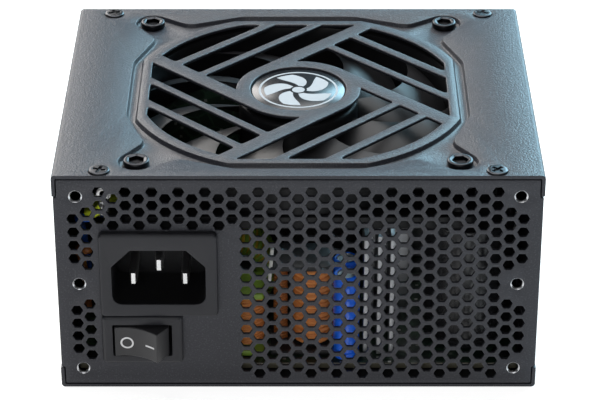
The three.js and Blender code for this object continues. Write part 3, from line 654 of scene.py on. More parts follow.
def sideWall(side, node):
    out, step, (z0, z1, z2, z3) = wallHalf()
    t = case["sheet"]
    outer = [[step, z0], [step, z1 - 0.5], [out, z1], [out, z2], [step, z2 + 0.5], [step, z3]]
    inner = [[step - t, z3], [step - t, z2], [out - t, z2 - 0.6], [out - t, z1 + 0.6], [step - t, z1],
             [step - t, z0]]
    loop = roundLoop(outer + inner, [0.1, 0.4, 0.3, 0.3, 0.4, 0.1] + [0.1, 0.4, 0.3, 0.3, 0.4, 0.1], 4)
    end = case["halfD"] - t - case["sideGap"]
    place = lambda q, y: np.column_stack([side * q[:, 0], np.full(len(q), y), q[:, 1]])
    shell = Shell()
    shell.sweep(loop, [(-0.1, -end), (0, -end + 0.1), (0, end - 0.1), (-0.1, end)], place)
    return shell.piece(f"wall_{node[10:]}", "case", finish["coat"], node, "powder_coat", smooth=35)


def panelLoop():
    out, step, (z0, z1, z2, z3) = wallHalf()
    half = np.array([[step, z0], [step, z1], [out, z1], [out, z2], [step, z2], [step, z3]])
    return roundLoop(np.concatenate([half, half[::-1] * [-1, 1]]), 0.42, 4)


vents = {"pitch": 3.9, "flats": 2.75, "top": 58.8, "columns": 17, "clear": 4.5, "plain": (-15, -5),
         "plainTop": 49.0}
mountHoles = {"x": 56.5, "z": (6.0, 31.75, 57.5), "radius": 1.38, "chamfer": 0.36}


def ventCentres():
    # x is the column times half the root of 3 times the pitch, z drops a pitch a row and half of one every
    # second column; cells near a mounting hole or behind the inlet are left out
    col = np.arange(-vents["columns"], vents["columns"] + 1)
    row = np.arange(15)
    c, r = np.meshgrid(col, row, indexing="ij")
    odd = np.abs(c) % 2
    x = c * vents["pitch"] * math.sqrt(3) / 2
    z = vents["top"] - r * vents["pitch"] - (1 - odd) * vents["pitch"] / 2
    mx, mz = np.meshgrid([-mountHoles["x"], mountHoles["x"]], mountHoles["z"])
    near = np.hypot(x[..., None] - mx.ravel(), z[..., None] - mz.ravel()).min(-1) < vents["clear"]
    plain = (c >= vents["plain"][0]) & (c <= vents["plain"][1]) & (z < vents["plainTop"])
    keep = ~near & ~plain & ~((odd == 0) & (r == 14))
    return np.stack([x[keep], z[keep]], 1)


panelEdge = [(-0.3, 0.0), (-0.14, 0.04), (-0.04, 0.14), (0, 0.3)]


def grownBox(node, grow, radius, steps=5):
    # a node's outline seen from the front, grown on every side
    low, high = boxOf(node)
    return rectLoop(low[0] - grow, high[0] + grow, low[2] - grow, high[2] + grow, radius, steps)


def inletPanel():
    # a plate with hexagonal vents that have rolled edges, bare mounting holes, windows and two folded ears
    t, front = case["sheet"], -case["halfD"]
    place = standing(front)
    shell = Shell()
    centres = ventCentres()
    hexagon = roundLoop(circleLoop(0, 0, vents["flats"] / math.sqrt(3), 6), 0.28, 3)
    rim = [(0.11, 0.0), (0.035, 0.03), (0, 0.12), (0, t - 0.08), (0.08, t)]
    rings = np.stack([centres[:, None] + offsetLoop(hexagon, o)[None] for o, h in rim], 1)
    depth = np.broadcast_to(np.array([front + h for o, h in rim])[None, :, None], rings.shape[:3])
    shell.grids(np.stack([rings[..., 0], depth, rings[..., 1]], -1), closeV=True)
    mounts = [circleLoop(x, z, mountHoles["radius"], 32) for x in (-mountHoles["x"], mountHoles["x"])
              for z in mountHoles["z"]]
    lip = mountHoles["chamfer"]
    for loop in mounts:
        shell.grids([place(offsetLoop(loop, o), h) for o, h in ((lip, 0), (lip - 0.04, 0.02), (0, lip))],
                    closeV=True,
                    mat=1)
        shell.band(loop, ((0, lip), (0, t)), place, mat=1)
    windows = [grownBox(node, -1.2, 0.5) for node in ("ac_inlet_body", "switch_housing")]
    for loop in windows:
        shell.grids([place(loop, 0), place(loop, t)], closeV=True)
    outer = panelLoop()
    edge = panelEdge + [(0, t)]
    shell.band(outer, edge, place)
    wide = lambda o: [q for q in centres[:, None] + offsetLoop(hexagon, o)[None]]
    shell.fill(offsetLoop(outer, edge[0][0]), wide(rim[0][0]) + [offsetLoop(l,
                                                                            lip) for l in mounts] + windows,
               place, 0.0)
    shell.fill(outer, wide(rim[-1][0]) + mounts + windows, place, t)
    ears(shell, coverScrews[:2], front + t, 1)
    return shell.piece("panel_inlet", "case", [finish["coat"], finish["bare"]], "inlet_panel", "powder_coat",
                       smooth=30)


def ears(shell, screws, inner, inward):
    # folded ears that take the cover screws, 3.3 mm either side of each
    high = case["top"] - case["sheet"] - case["gap"]
    for x, y in screws:
        near, far = sorted((inner - inward * 0.3, inner + inward * 8.5))
        loop = rectLoop(x - 3.3, x + 3.3, near, far, 1.0)
        shell.plate(loop, rimOut(0.1, 0.9), above(high - 0.9), [circleLoop(x, y, 1.6, 20)], rimIn(0.05, 0.9))


sockets = ["main_socket_wide", "main_socket_narrow", "processor_socket_1", "processor_socket_2",
           "graphics_socket",
           "drive_socket"]


def leadPanel():
    t, back = case["sheet"], case["halfD"]
    place = standingBack(back)
    shell = Shell()
    windows = [grownBox(node, 0.25, 0.4) for node in sockets]
    edge = panelEdge + [(0, t)]
    hole = [(0.12, 0), (0.03, 0.03), (0, 0.12), (0, t)]
    shell.plate(panelLoop(), edge, place, windows, hole)
    ears(shell, coverScrews[2:], back - t, -1)
    return shell.piece("panel_lead", "case", finish["coat"], "lead_panel", "powder_coat", smooth=30)


topCover()
bottomPan()
sideWall(1, "side_wall_right")
sideWall(-1, "side_wall_left")
inletPanel()
leadPanel()
print("case sheets made")


def hexRadius(a, flats):
    # hexagon: half its flats over the cosine of a's lean from the nearest flat
    return flats / 2 / np.cos((a + math.pi / 6) % (math.pi / 3) - math.pi / 6)


def crossRadius(a, half, reach):
    # cross: the lesser of an arm's half width over the sine of a's lean, and its reach over the cosine
    b = (a + math.pi / 4) % (math.pi / 2) - math.pi / 4
    side = half / np.maximum(np.abs(np.sin(b)), 1e-6)
    end = reach / np.cos(b)
    return np.maximum(np.minimum(side, end), half * 1.25)


def headGrid(shell, x, y, rows, shape, count=72):
    # rows are (radius, z, share): radius times ((1 - share) plus share times the recess outline at angle a)
    a = (np.arange(count) + 0.5) * tau / count
    r, z, share = np.array(rows, float).T[:, :, None]
    reach = r * (1 - share) + shape(a) * share * r
    rings = np.stack([x + reach * np.cos(a), y + reach * np.sin(a), z + 0 * reach], -1)
    shell.grids(rings, closeV=True)


def fanScrew(i, x, y):
    low, high = boxOf(f"fan_screw_{i + 1}")
    floor, top = moat["floor"] + 0.02, high[2]
    shell = Shell()
    flats = lambda a: hexRadius(a + 0.4 * i, 2.0)
    rows = [(0.001, floor, 0), (3.2, floor, 0), (3.32, floor + 0.1, 0), (3.35, floor + 0.25, 0),
            (3.35, top - 0.42, 0),
            (3.3, top - 0.25, 0), (3.15, top - 0.09, 0), (2.95, top - 0.01, 0), (2.75, top, 0),
            (2.45, top - 0.03, 0),
            (2.15, top - 0.12, 1), (1.92, top - 0.2, 1), (1.86, top - 0.4, 1), (1.86, top - 1.15, 1),
            (0.9, top - 1.3, 1), (0.001, top - 1.35, 1)]
    headGrid(shell, x, y, rows, flats)
    shell.lathe([(0.001, floor), (1.75, floor), (1.75, low[2] + 0.4), (1.4, low[2]), (0.001, low[2])], x, y,
                24)
    return shell.piece(f"grille_screw_{i + 1}", "case", finish["screw"], f"fan_screw_{i + 1}",
                       "black_screw", smooth=38)


def flatScrew(name, node, x, y, base, radius, high, turn):
    low, _ = boxOf(node)
    shell = Shell()
    arms = lambda a: crossRadius(a + turn, 0.42, 1.7)
    rows = [(0.001, base - 0.1, 0), (radius - 0.1, base - 0.1, 0), (radius, base, 0),
            (radius, base + high * 0.45, 0),
            (radius - 0.08, base + high * 0.7, 0), (radius - 0.35, base + high * 0.92, 0),
            (radius - 0.7, base + high, 0), (1.04, base + high, 1), (1.0, base + high - 0.05, 1),
            (0.88, base + high - 0.7, 1), (0.4, base + high - 1.0, 1), (0.001, base + high - 1.05, 1)]
    headGrid(shell, x, y, rows, arms, 96)
    shell.lathe([(0.001, base), (1.35, base), (1.35, low[2] + 0.4), (1.0, low[2]), (0.001, low[2])], x, y, 20)
    return shell.piece(name, "case", finish["screw"], node, "black_screw", smooth=38)


for i, (x, y) in enumerate(fanScrews):
    fanScrew(i, x, y)
for i, (x, y) in enumerate(coverScrews):
    flatScrew(f"case_screw_{i + 1}", f"cover_screw_{i + 1}", x, y, case["top"] - 0.02, 2.7, 0.5,
              0.3 + 0.5 * i)
print("screws made")


def fanFrame():
    low, high = fan["low"], fan["high"]
    half, t = fan["side"] / 2, 3.5
    at = np.array([fan["x"], fan["y"]])
    shell = Shell()
    flange = rectLoop(-half, half, -half, half, 4, 7) + at
    bore = circleLoop(*at, fan["bore"], 96)
    holes = [circleLoop(x, y, 2.1, 24) for x, y in fanScrews]
    lip = [(0.5, 0.0), (0.2, 0.1), (0, 0.4), (0, t)]
    small = [(0.1, 0.0), (0, 0.1), (0, t)]
    edge = [(-0.3, 0.0), (-0.08, 0.08), (0, 0.3), (0, t - 0.2), (-0.2, t)]
    for base, sign in ((high, -1), (low, 1)):
        place = lambda q, h=0.0: onZ(q, base + sign * h)
        shell.band(flange, edge, place)
        shell.band(bore, lip, place)
        for hole in holes:
            shell.band(hole, small, place)
        shell.fill(offsetLoop(flange, -0.3), [offsetLoop(bore, 0.5)] + [offsetLoop(h, 0.1) for h in holes],
                   place, 0.0)
        outerTube = circleLoop(*at, fan["bore"] + 1.8, 96)
        shell.fill(offsetLoop(flange, -0.2), [outerTube] + holes, place, t)
    barrel = [(fan["bore"], low + t), (fan["bore"], high - t)]
    shell.lathe(barrel, *at, 96)
    shell.lathe([(fan["bore"] + 1.8, low + t), (fan["bore"] + 1.8, high - t)], *at, 96)
    # motor base held by four struts
    shell.lathe([(0.001, low), (fan["hub"] - 0.3, low), (fan["hub"], low + 0.3), (fan["hub"], low + 1.8),
                 (fan["hub"] - 0.2, low + 2.0), (4.6, low + 2.0), (4.6, low + 11.5), (3.45, low + 11.5),
                 (3.45, low + 1.6), (0.001, low + 1.6)], *at, 64)
    for k in range(4):
        turn = tau / 12 + k * tau / 4
        strut = turnLoop(rectLoop(fan["hub"] - 1, fan["bore"] + 0.5, -2.2, 2.2), turn) + at
        shell.plate(strut, rimOut(0.3, 2.2), above(low))
    return shell.piece("fan_housing", "case", finish["fan"], "fan_frame", "fan_plastic", smooth=35)


def fanRotor():
    base = fan["low"]
    at = np.array([fan["x"], fan["y"]])
    hub = fan["hub"]
    shell = Shell()
    top = base + 14.2
    shell.lathe([(1.65, base + 12.6), (hub - 1.4, base + 12.6), (hub - 1.4, base + 2.6),
                 (hub - 0.1, base + 2.6),
                 (hub, base + 2.8), (hub, top - 1.1), (hub - 0.15, top - 0.6), (hub - 0.5, top - 0.2),
                 (hub - 1.0, top),
                 (hub - 1.8, top), (hub - 2.1, top - 0.25), (10.2, top - 0.25), (10.0, top - 0.45),
                 (1.65, top - 0.45),
                 (1.65, base + 12.6)], *at, 96)
    # a blade: u runs out from the hub, v along the chord. Its angle is half u squared plus the chord's share,
    # its height a twist of (v - 0.5) times the rise plus a camber of the sine of pi v, and its thickness goes
    # with the root of v (1 - v)
    u = np.linspace(0, 1, 22)[:, None]
    v = np.linspace(0, 1, 17)[None, :]
    radius = hub - 0.6 + u * (fan["tip"] - hub + 0.6)
    angle = 0.5 * u * u + (v - 0.5) * (0.62 - 0.06 * u)
    camber = 0.9 * np.sin(math.pi * v)
    middle = base + 7.6 + (v - 0.5) * (7.6 - 1.4 * u) + camber
    thick = 0.14 + 0.5 * np.sqrt(np.clip(v * (1 - v), 0, 1)) * (1 - 0.35 * u)
    for k in range(fan["blades"]):
        a = angle + k * tau / fan["blades"]
        x, y = at[0] + radius * np.cos(a), at[1] + radius * np.sin(a)
        up = np.stack([x, y, middle + thick], -1)
        down = np.stack([x, y, middle - thick], -1)
        edge = np.concatenate([up, down[:, ::-1]], 1)
        shell.grids(edge, closeV=True)
        for end in (0, -1):
            shell.grids(np.stack([up[end], down[end]]))
    return shell.piece("fan_wheel", "rotor", finish["fan"], "fan_rotor", "fan_plastic", smooth=40)


fanFrame()
fanRotor()
print("fan made")


badge = {"radius": 12.6, "rim": 0.7, "blades": 5}


def badgePiece():
    low, high = boxOf("fan_badge")
    at = (fan["x"], fan["y"])
    r, top, foot = badge["radius"], high[2], low[2] + 1.1
    shell = Shell()
    shell.lathe([(0.001, foot), (r - 0.1, foot), (r, foot + 0.1), (r, top - 0.2), (r - 0.06, top - 0.08),
                 (r - 0.2, top), (0.001, top)], *at, 96)
    shell.piece("badge_disc", "case", finish["badge"], "fan_badge", "badge_face", smooth=35)
    # plain fan pictogram in silver: a ring, a boss and blades whose angle goes with 0.75 u, and whose width
    # with the sine of pi times (0.15 + 0.75 u)
    mark = Shell()
    z = top + 0.03
    mark.lathe([(r - 1.9, z - 0.05), (r - 1.9, z), (r - 2.5, z), (r - 2.5, z - 0.05)], *at, 96)
    mark.lathe([(1.7, z - 0.05), (1.7, z), (0.001, z)], *at, 48)
    u = np.linspace(0, 1, 16)[:, None]
    v = np.linspace(0, 1, 9)[None, :]
    for k in range(badge["blades"]):
        radius = 2.3 + u * 6.9
        width = 0.35 + 0.55 * np.sin(math.pi * (0.15 + 0.75 * u))
        a = k * tau / badge["blades"] + 0.75 * u + (v - 0.5) * width
        x, y = at[0] + radius * np.cos(a), at[1] + radius * np.sin(a)
        mark.grids(np.stack([x, y, np.full_like(x, z)], -1))
    mark.piece("badge_mark", "case", finish["silver"], slot="badge_face", smooth=35)


badgePiece()


inlet = {"wellW": 24.1, "wellH": 16.0, "chamfer": 4.9, "well": 15.8, "lip": 2.2, "drop": 0.4, "bodyW": 27.0,
         "bodyH": 19.6}


def inletBody():
    low, high = boxOf("ac_inlet_body")
    cx, _, cz = middleOf("ac_inlet_body")
    front, back = low[1], high[1]
    a, b, c = inlet["wellW"] / 2, inlet["wellH"] / 2, inlet["chamfer"]
    well = roundLoop([[-a, -b], [a, -b], [a, b - c], [a - c, b], [-a + c, b], [-a, b - c]],
                     [3, 3, 0.8, 0.8, 0.8, 0.8], 7) + [cx, cz - inlet["drop"]]
    bezel = grownBox("ac_inlet_body", 0, 1.3, 7)
    place = standing(front)
    shell = Shell()
    outer = [(-0.75, 0.0), (-0.45, 0.05), (-0.2, 0.22), (-0.03, 0.6), (0, 0.95), (0, inlet["lip"] - 0.02),
             (-1.2, inlet["lip"] - 0.02)]
    hollow = [(0.22, 0.0), (0.08, 0.05), (0, 0.25), (-0.02, 1.2), (-0.12, 6.0), (-0.2, inlet["well"])]
    shell.band(bezel, outer, place)
    shell.band(well, hollow[:3], place)
    # past its rounded mouth the well's walls and floor take the darker material, which is painted shade
    shell.band(well, hollow[2:], place, mat=1)
    shell.fill(offsetLoop(bezel, outer[0][0]), [offsetLoop(well, hollow[0][0])], place, 0.0)
    shell.fill(offsetLoop(well, hollow[-1][0]), [], place, inlet["well"], mat=1)
    rear = centred(cx, cz, inlet["bodyW"], inlet["bodyH"], 1.0)
    depth = back - front
    shell.grids([place(rear, inlet["lip"] - 0.02), place(rear, depth - 0.3),
                 place(offsetLoop(rear, -0.3), depth)],
                closeV=True)
    shell.fill(offsetLoop(bezel, -1.2), [rear], place, inlet["lip"] - 0.02)
    shell.fill(offsetLoop(rear, -0.3), [], place, depth)
    shell.piece("inlet_socket", "case", [finish["moulded"], finish["well"]], "ac_inlet_body", "moulded_black",
                smooth=33)
    for node in ("neutral_pin", "live_pin", "earth_pin"):
        pinLow, pinHigh = boxOf(node)
        x, _, z = middleOf(node)
        section = centred(x, z, 2.0, 4.0, 0.62)
        pin = Shell()
        tip = [(-0.52, 0.0), (-0.46, 0.04), (-0.2, 0.9), (-0.05, 1.5), (0, 2.0), (0, pinHigh[1] - pinLow[1])]
        pin.sweep(section, tip, standing(pinLow[1]))
        pin.piece(f"inlet_{node}", "case", finish["contact"], node, "contact_metal", smooth=30)


inletBody()


switch = {"windowW": 15.4, "windowH": 9.4, "deep": 11.0, "lip": 1.98, "bodyW": 18.8, "bodyH": 12.4}
rocker = {"crest": 5.85, "rise": 5.18, "tilt": math.radians(18), "end": 7.4, "hollow": 1.5, "high": 8.8}


def switchHousing():
    low, high = boxOf("switch_housing")
    cx, _, cz = middleOf("switch_housing")
    front, back, lip = low[1], high[1], switch["lip"]
    place = standing(front)
    bezel = grownBox("switch_housing", 0, 1.2, 6)
    window = centred(cx, cz, switch["windowW"], switch["windowH"], 0.5)
    outer = [(-1.0, 0.0), (-0.8, 0.03), (-0.3, 0.4), (-0.06, 0.75), (0, 1.1), (0, lip), (-0.6, lip)]
    hollow = [(0.2, 0.0), (0.05, 0.05), (0, 0.25), (0, switch["deep"])]
    shell = Shell()
    shell.band(bezel, outer, place)
    shell.band(window, hollow, place)
    shell.fill(offsetLoop(bezel, outer[0][0]), [offsetLoop(window, 0.2)], place, 0.0)
    # the window's floor takes the darker material, which is painted shade
    shell.fill(window, [], place, switch["deep"], mat=1)
    rear = centred(cx, cz, switch["bodyW"], switch["bodyH"], 0.5)
    depth = back - front
    shell.grids([place(rear, lip), place(rear, depth - 0.2), place(offsetLoop(rear, -0.2), depth)],
                closeV=True)
    shell.fill(offsetLoop(bezel, -0.6), [rear], place, lip)
    shell.fill(offsetLoop(rear, -0.2), [], place, depth)
    shell.piece("switch_frame", "case", [finish["moulded"], finish["well"]], "switch_housing",
                "moulded_black",
                smooth=33)


def rockerFace(x):
    # hollow face above the pivot, untilted: rise less hollow times (1 less the square of x over the crest)
    return rocker["rise"] - rocker["hollow"] * (1 - (x / rocker["crest"]) ** 2)


def tilted(x, out, z, pivot):
    # from the rocker's own x and outward height to the case, at rest: both turned by the tilt about the pivot
    c, s = math.cos(rocker["tilt"]), math.sin(rocker["tilt"])
    return np.stack([pivot[0] + x * c - out * s, pivot[1] - x * s - out * c, z], -1)


def switchRocker():
    joint = [j for j in frame["joints"] if j["name"] == "switch_rock"][0]
    pivot = np.array(joint["pos_m"]) / mm
    low, high = boxOf("switch_rocker")
    face = np.linspace(rocker["crest"], -rocker["crest"], 25)
    crown = np.stack([face, rockerFace(face)], 1)
    rest = np.array([[-rocker["end"], 0.3], [-6.4, -2.2], [-2.4, -4.0], [2.4, -4.0], [6.4, -2.2],
                     [rocker["end"], 0.3]])
    loop = roundLoop(np.concatenate([crown, rest]), 0.35, 5, 0.25)
    edge = 0.35
    a = np.linspace(0, math.pi / 2, 5)
    levels = [(-edge * (1 - math.sin(t)), low[2] + edge * (1 - math.cos(t))) for t in a]
    levels += [(o, low[2] + high[2] - z) for o, z in levels[::-1]]
    place = lambda q, z: tilted(q[:, 0], q[:, 1], np.full(len(q), z), pivot)
    shell = Shell()
    shell.sweep(loop, levels, place)
    shell.piece("switch_key", "rocker", finish["rocker"], "switch_rocker", "moulded_black", smooth=30)
    # printed marks lie on the hollow face: a ring for off, a bar for on
    z = (low[2] + high[2]) / 2 - 0.28
    lift = 0.03
    a = np.arange(48) * tau / 48
    ring = []
    for radius in (1.7, 1.7, 1.25, 1.25):
        x = -2.85 + radius * np.cos(a)
        up = rockerFace(x) + (lift if len(ring) in (1, 2) else -0.05)
        ring.append(tilted(x, up, z + radius * np.sin(a), pivot))
    Shell().grids(ring, closeU=True, closeV=True).piece("switch_mark_off", "rocker", finish["mark"],
                                                        slot="moulded_black", smooth=35)
    x = np.linspace(2.2, 4.9, 12)
    bar = []
    for dz, up in ((-0.25, -0.05), (-0.25, lift), (0.25, lift), (0.25, -0.05)):
        bar.append(tilted(x, rockerFace(x) + up, np.full(len(x), z + dz), pivot))
    bar = np.stack(bar, 1)
    ends = [np.repeat(bar[k].mean(0)[None, None], 4, 1) for k in (0, -1)]
    Shell().grids(np.concatenate([ends[0], bar, ends[1]]), closeV=True).piece(
        "switch_mark_on", "rocker", finish["mark"], slot="moulded_black", smooth=35)


switchHousing()
switchRocker()
print("inlet and switch made")


def uprightCan(name, node, material, slot):
    # capacitor can: a sleeve with its groove near the foot, and a bare top set in
    low, high = boxOf(node)
    x, y, _ = middleOf(node)
    r, z0, z1 = (high[0] - low[0]) / 2, low[2], high[2]
    sleeve = [(0.001, z0), (r - 0.5, z0), (r - 0.1, z0 + 0.3), (r, z0 + 0.8), (r, z0 + 1.8),
              (r - 0.35, z0 + 2.2), (r - 0.35, z0 + 2.5), (r, z0 + 2.9), (r, z1 - 0.8), (r - 0.1, z1 - 0.3),
              (r - 0.5, z1), (r - 1.1, z1 - 0.05)]
    shell = Shell()
    shell.lathe(sleeve, x, y, 48)
    shell.lathe([sleeve[-1], (r - 1.3, z1 - 0.3), (0.001, z1 - 0.3)], x, y, 48, mat=1)
    return shell.piece(name, "case", [material, finish["aluminium"]], node, slot, smooth=35)


def squared(value, power):
    return np.sign(value) * np.abs(value) ** power


def coilUp(shell, x, y, z0, z1, radius, wire, mat=0):
    # one layer of wire up a post: a circle about x, y, rising evenly from z0 to z1 over its turns
    turns = int((z1 - z0) / (2 * wire * 1.02))
    s = np.linspace(0, 1, turns * 20)
    a = tau * turns * s
    rise = z0 + wire + (z1 - z0 - 2 * wire) * s
    shell.tube(np.stack([x + radius * np.cos(a), y + radius * np.sin(a), rise], 1), wire, 6, mat=mat)


def coilRound(shell, centre, ringR, coreR, coreHalf, wire, turns):
    # wire round a ring core whose axis is along y: its section is a squared circle, with each sine and cosine
    # raised to 0.6, and turns go round the section while phi goes once round the ring
    s = np.linspace(0, 1, turns * 16)
    phi, a = tau * s, tau * turns * s
    radial = ringR + squared(np.cos(a), 0.6) * (coreR + wire)
    side = squared(np.sin(a), 0.6) * (coreHalf + wire)
    path = np.stack([radial * np.cos(phi), side, radial * np.sin(phi)], 1) + centre
    shell.tube(path, wire, 6)


def flanges(shell, low, high, thick):
    for z in (low[2], high[2] - thick):
        shell.plate(rectLoop(low[0], high[0], low[1], high[1], 1.0), rimOut(0.2, thick), above(z), mat=1)


def woundPost(shell, x, y, z0, z1, radius, wire, sunk, mat=0):
    # a round post, sunk into the flanges at both ends, under one layer of wire
    post = radius - wire * 0.8
    profile = [(0.001, z0 - sunk), (post, z0 - sunk), (post, z1 + sunk), (0.001, z1 + sunk)]
    shell.lathe(profile, x, y, 32, mat=1)
    coilUp(shell, x, y, z0, z1, radius, wire, mat)


choke = {"flange": 1.6, "gap": 0.1, "wire": 0.45, "clear": 0.35, "sunk": 0.2, "fin": 1.0}


def lineChoke():
    # two wound posts side by side, with a fin between them
    low, high = boxOf("line_filter_choke")
    x, y, _ = middleOf("line_filter_choke")
    w, d, _ = high - low
    wire, start = choke["wire"], choke["flange"] + choke["gap"]
    shell = Shell()
    flanges(shell, low, high, choke["flange"])
    fin = centred(x, y, choke["fin"], d)
    shell.plate(fin, rimOut(0.1, high[2] - low[2] - 2 * start), above(low[2] + start), mat=1)
    radius = min(w / 4, d / 2) - wire - choke["clear"] + wire * 0.8
    for side in (-1, 1):
        woundPost(shell, x + side * w / 4, y, low[2] + start, high[2] - start, radius, wire, choke["sunk"])
    return shell.piece("filter_choke", "case", [finish["copper"], finish["green"]], "line_filter_choke",
                       "choke_core", smooth=50)


surge = {"flange": 1.3, "sunk": 0.1, "posts": ((3.4, 4.7, 0.75, 0), (-5.2, 1.5, 0.4, 2)),
         "tab": ((-0.6, 27.0), (0.3, 27.0), (1.2, 38.0), (0.3, 38.0)), "tabDeep": 4.0}


def surgeChoke():
    # one thick winding on an upright post, a thin dark one beside it, and a tilted tab of tape
    low, high = boxOf("surge_filter_choke")
    x, y, _ = middleOf("surge_filter_choke")
    shell = Shell()
    flanges(shell, low, high, surge["flange"])
    z0, z1 = low[2] + surge["flange"], high[2] - surge["flange"]
    for offset, radius, wire, mat in surge["posts"]:
        woundPost(shell, x + offset, y, z0, z1, radius, wire, surge["sunk"], mat)
    tab = roundLoop(np.array(surge["tab"]) + [low[0], 0], 0.2, 3)
    shell.plate(tab, rimOut(0.12, surge["tabDeep"]), standing(low[1] + 0.3), mat=3)
    materials = [finish[kind] for kind in ("copper", "insulator", "live", "white")]
    return shell.piece("surge_choke", "case", materials, "surge_filter_choke", "copper_winding", smooth=50)


def woundRing(name, node, wireMaterial, slot, wire, turns, coreMaterial):
    # a ring core with a squared section, each sine and cosine raised to 0.5, under its winding
    low, high = boxOf(node)
    centre = middleOf(node)
    outer, half = (high[0] - low[0]) / 2, (high[1] - low[1]) / 2 - 2 * wire
    inner = outer * 0.42
    ringR, coreR = (outer + inner) / 2, (outer - inner) / 2 - 2 * wire
    a = np.arange(24) * tau / 24
    phi = np.arange(64)[:, None] * tau / 64
    radial, side = ringR + squared(np.cos(a), 0.5) * coreR, squared(np.sin(a), 0.5) * half
    core = np.stack([radial * np.cos(phi), side + 0 * phi, radial * np.sin(phi)], -1) + centre
    shell = Shell()
    shell.grids(core, closeU=True, closeV=True, mat=1)
    coilRound(shell, centre, ringR, coreR, half, wire, turns)
    return shell.piece(name, "case", [wireMaterial, coreMaterial], node, slot, smooth=50)


sink = {"fin": 1.2, "back": 2.0, "round": 0.25, "edge": 0.1}


def finBlock(name, node, places):
    # comb-shaped section seen from above: fins to the front, back plate behind, places as shares of the width
    low, high = boxOf(node)
    (x0, y0, z0), (x1, y1, z1) = low, high
    root, thick, edge = y1 - sink["back"], sink["fin"], sink["edge"]
    fins = [[[x, root], [x, y0], [x + thick, y0], [x + thick, root]]
            for x in x0 + (x1 - x0 - thick) * np.array(places)]
    comb = np.array(fins).reshape(-1, 2)[1:]
    if places[-1] == 1:
        comb = comb[:-1]
    else:
        comb = np.append(comb, [[x1, root]], 0)
    loop = roundLoop(np.append(comb, [[x1, y1], [x0, y1]], 0), sink["round"], 3)
    shell = Shell()
    shell.sweep(loop, [(-edge, z0), (0, z0 + edge), (0, z1 - edge), (-edge, z1)], onZ)
    return shell.piece(name, "case", finish["aluminium"], node, "aluminium_fin", smooth=30)


def transformerPiece():
    low, high = boxOf("transformer")
    (x0, y0, z0), (x1, y1, z1) = low, high
    shell = Shell()
    deep = (y1 - y0) / 4
    ym = (y0 + y1) / 2
    core = rectLoop(x0, x1, ym - deep, ym + deep, 0.4)
    shell.plate(core, rimOut(0.3, z1 - z0 - 3), above(z0 + 3))
    winding = rectLoop(x0 + 4, x1 - 4, y0 + 0.3, y1 - 0.3, 3.5, 8)
    s = np.linspace(0, 1, 15)
    wrap = [(-0.4 * (k % 2), z0 + 3 + (z1 - z0 - 10) * v) for k, v in enumerate(s)]
    shell.sweep(winding, wrap, onZ, mat=1)
    foot = rectLoop(x0 + 4, x1 - 4, y0, y1, 1)
    shell.plate(foot, rimOut(0.2, 2.6), above(z0))
    return shell.piece("main_transformer", "case", [finish["sleeve"], finish["insulator"]], "transformer",
                       "black_sleeve",
                       smooth=35)


def curveThrough(points, steps=12):
    # centripetal curve: each span is the blend of blends of its four nearest points,
    # C = ((c - t) A + (t - b) B) / (c - b)
    p = np.array(points, float)
    p = np.vstack([2 * p[0] - p[1], p, 2 * p[-1] - p[-2]])
    knots = np.concatenate([[0], np.cumsum(np.linalg.norm(np.diff(p, axis=0), axis=1) ** 0.5)])
    spans = []
    for i in range(1, len(p) - 2):
        t = np.linspace(knots[i], knots[i + 1], steps, endpoint=i == len(p) - 3)[:, None]
        k, near = knots[i - 1:i + 3], p[i - 1:i + 3]
        a = [((k[j + 1] - t) * near[j] + (t - k[j]) * near[j + 1]) / (k[j + 1] - k[j]) for j in range(3)]
        b = [((k[j + 2] - t) * a[j] + (t - k[j]) * a[j + 1]) / (k[j + 2] - k[j]) for j in range(2)]
        spans.append(((k[2] - t) * b[0] + (t - k[1]) * b[1]) / (k[2] - k[1]))
    return np.concatenate(spans)


wires = {
    "neutral_wire": [(-42.6, -24.7, 32.85), (-42.6, -22.7, 32.85), (-48, -21.5, 35), (-53.4, -29, 41),
                     (-54.8, -38, 44.5), (-57.4, -33, 42), (-58, -22, 33), (-57.6, -14.5, 18),
                     (-57.5, -13, 8.1),
                     (-57.5, -13, 6.1)],
    "live_wire": [(-29.2, -24.7, 32.85), (-29.2, -22.7, 32.85), (-33, -19, 30), (-45, -20.5, 29),
                  (-53.4, -31, 33),
                  (-55, -40, 36), (-57.8, -34, 33), (-58, -25, 24), (-57.5, -20, 12), (-57.5, -19, 8.1),
                  (-57.5, -19, 6.1)],
    "earth_wire": [(-35.9, -24.7, 36.85), (-35.9, -22.7, 36.85), (-42, -20.5, 40), (-49.5, -26.5, 44),
                   (-53.4, -35.5, 47.4), (-54, -43, 48.8), (-51.6, -46.4, 51), (-49.6, -46.6, 54),
                   (-49.6, -46.6, 55)],
    "radius": 1.1, "sleeve": 7.0, "lug": (-49.6, -46.6, 54.6),
}


def wirePiece(node, kind):
    # insulation over the whole run, with a shrunk sleeve over its soldered end; the earth wire ends in a lug
    path = curveThrough(wires[node])
    along = np.concatenate([[0], np.cumsum(np.linalg.norm(np.diff(path, axis=0), axis=1))])
    shell = Shell()
    shell.tube(path, wires["radius"], 14)
    shell.tube(path[along < wires["sleeve"]], wires["radius"] + 0.35, 14, mat=1)
    if node == "earth_wire":
        x, y, z = wires["lug"]
        ring = circleLoop(x, z + 2, 2.0, 28)
        bore = circleLoop(x, z + 2, 0.95, 20)
        shell.plate(ring, rimOut(0.12, 0.8), standing(y - 0.4), [bore], rimIn(0.1, 0.8), mat=2)
        shell.tube(np.array([[x, y, z - 3.6], [x, y, z - 2], [x, y, z + 0.3]]), wires["radius"] + 0.4, 14,
                   mat=2)
    return shell.piece(f"wire_{kind}", "case", [finish[kind], finish["sleeve"], finish["contact"]], node,
                       f"{kind}_insulation", smooth=50)


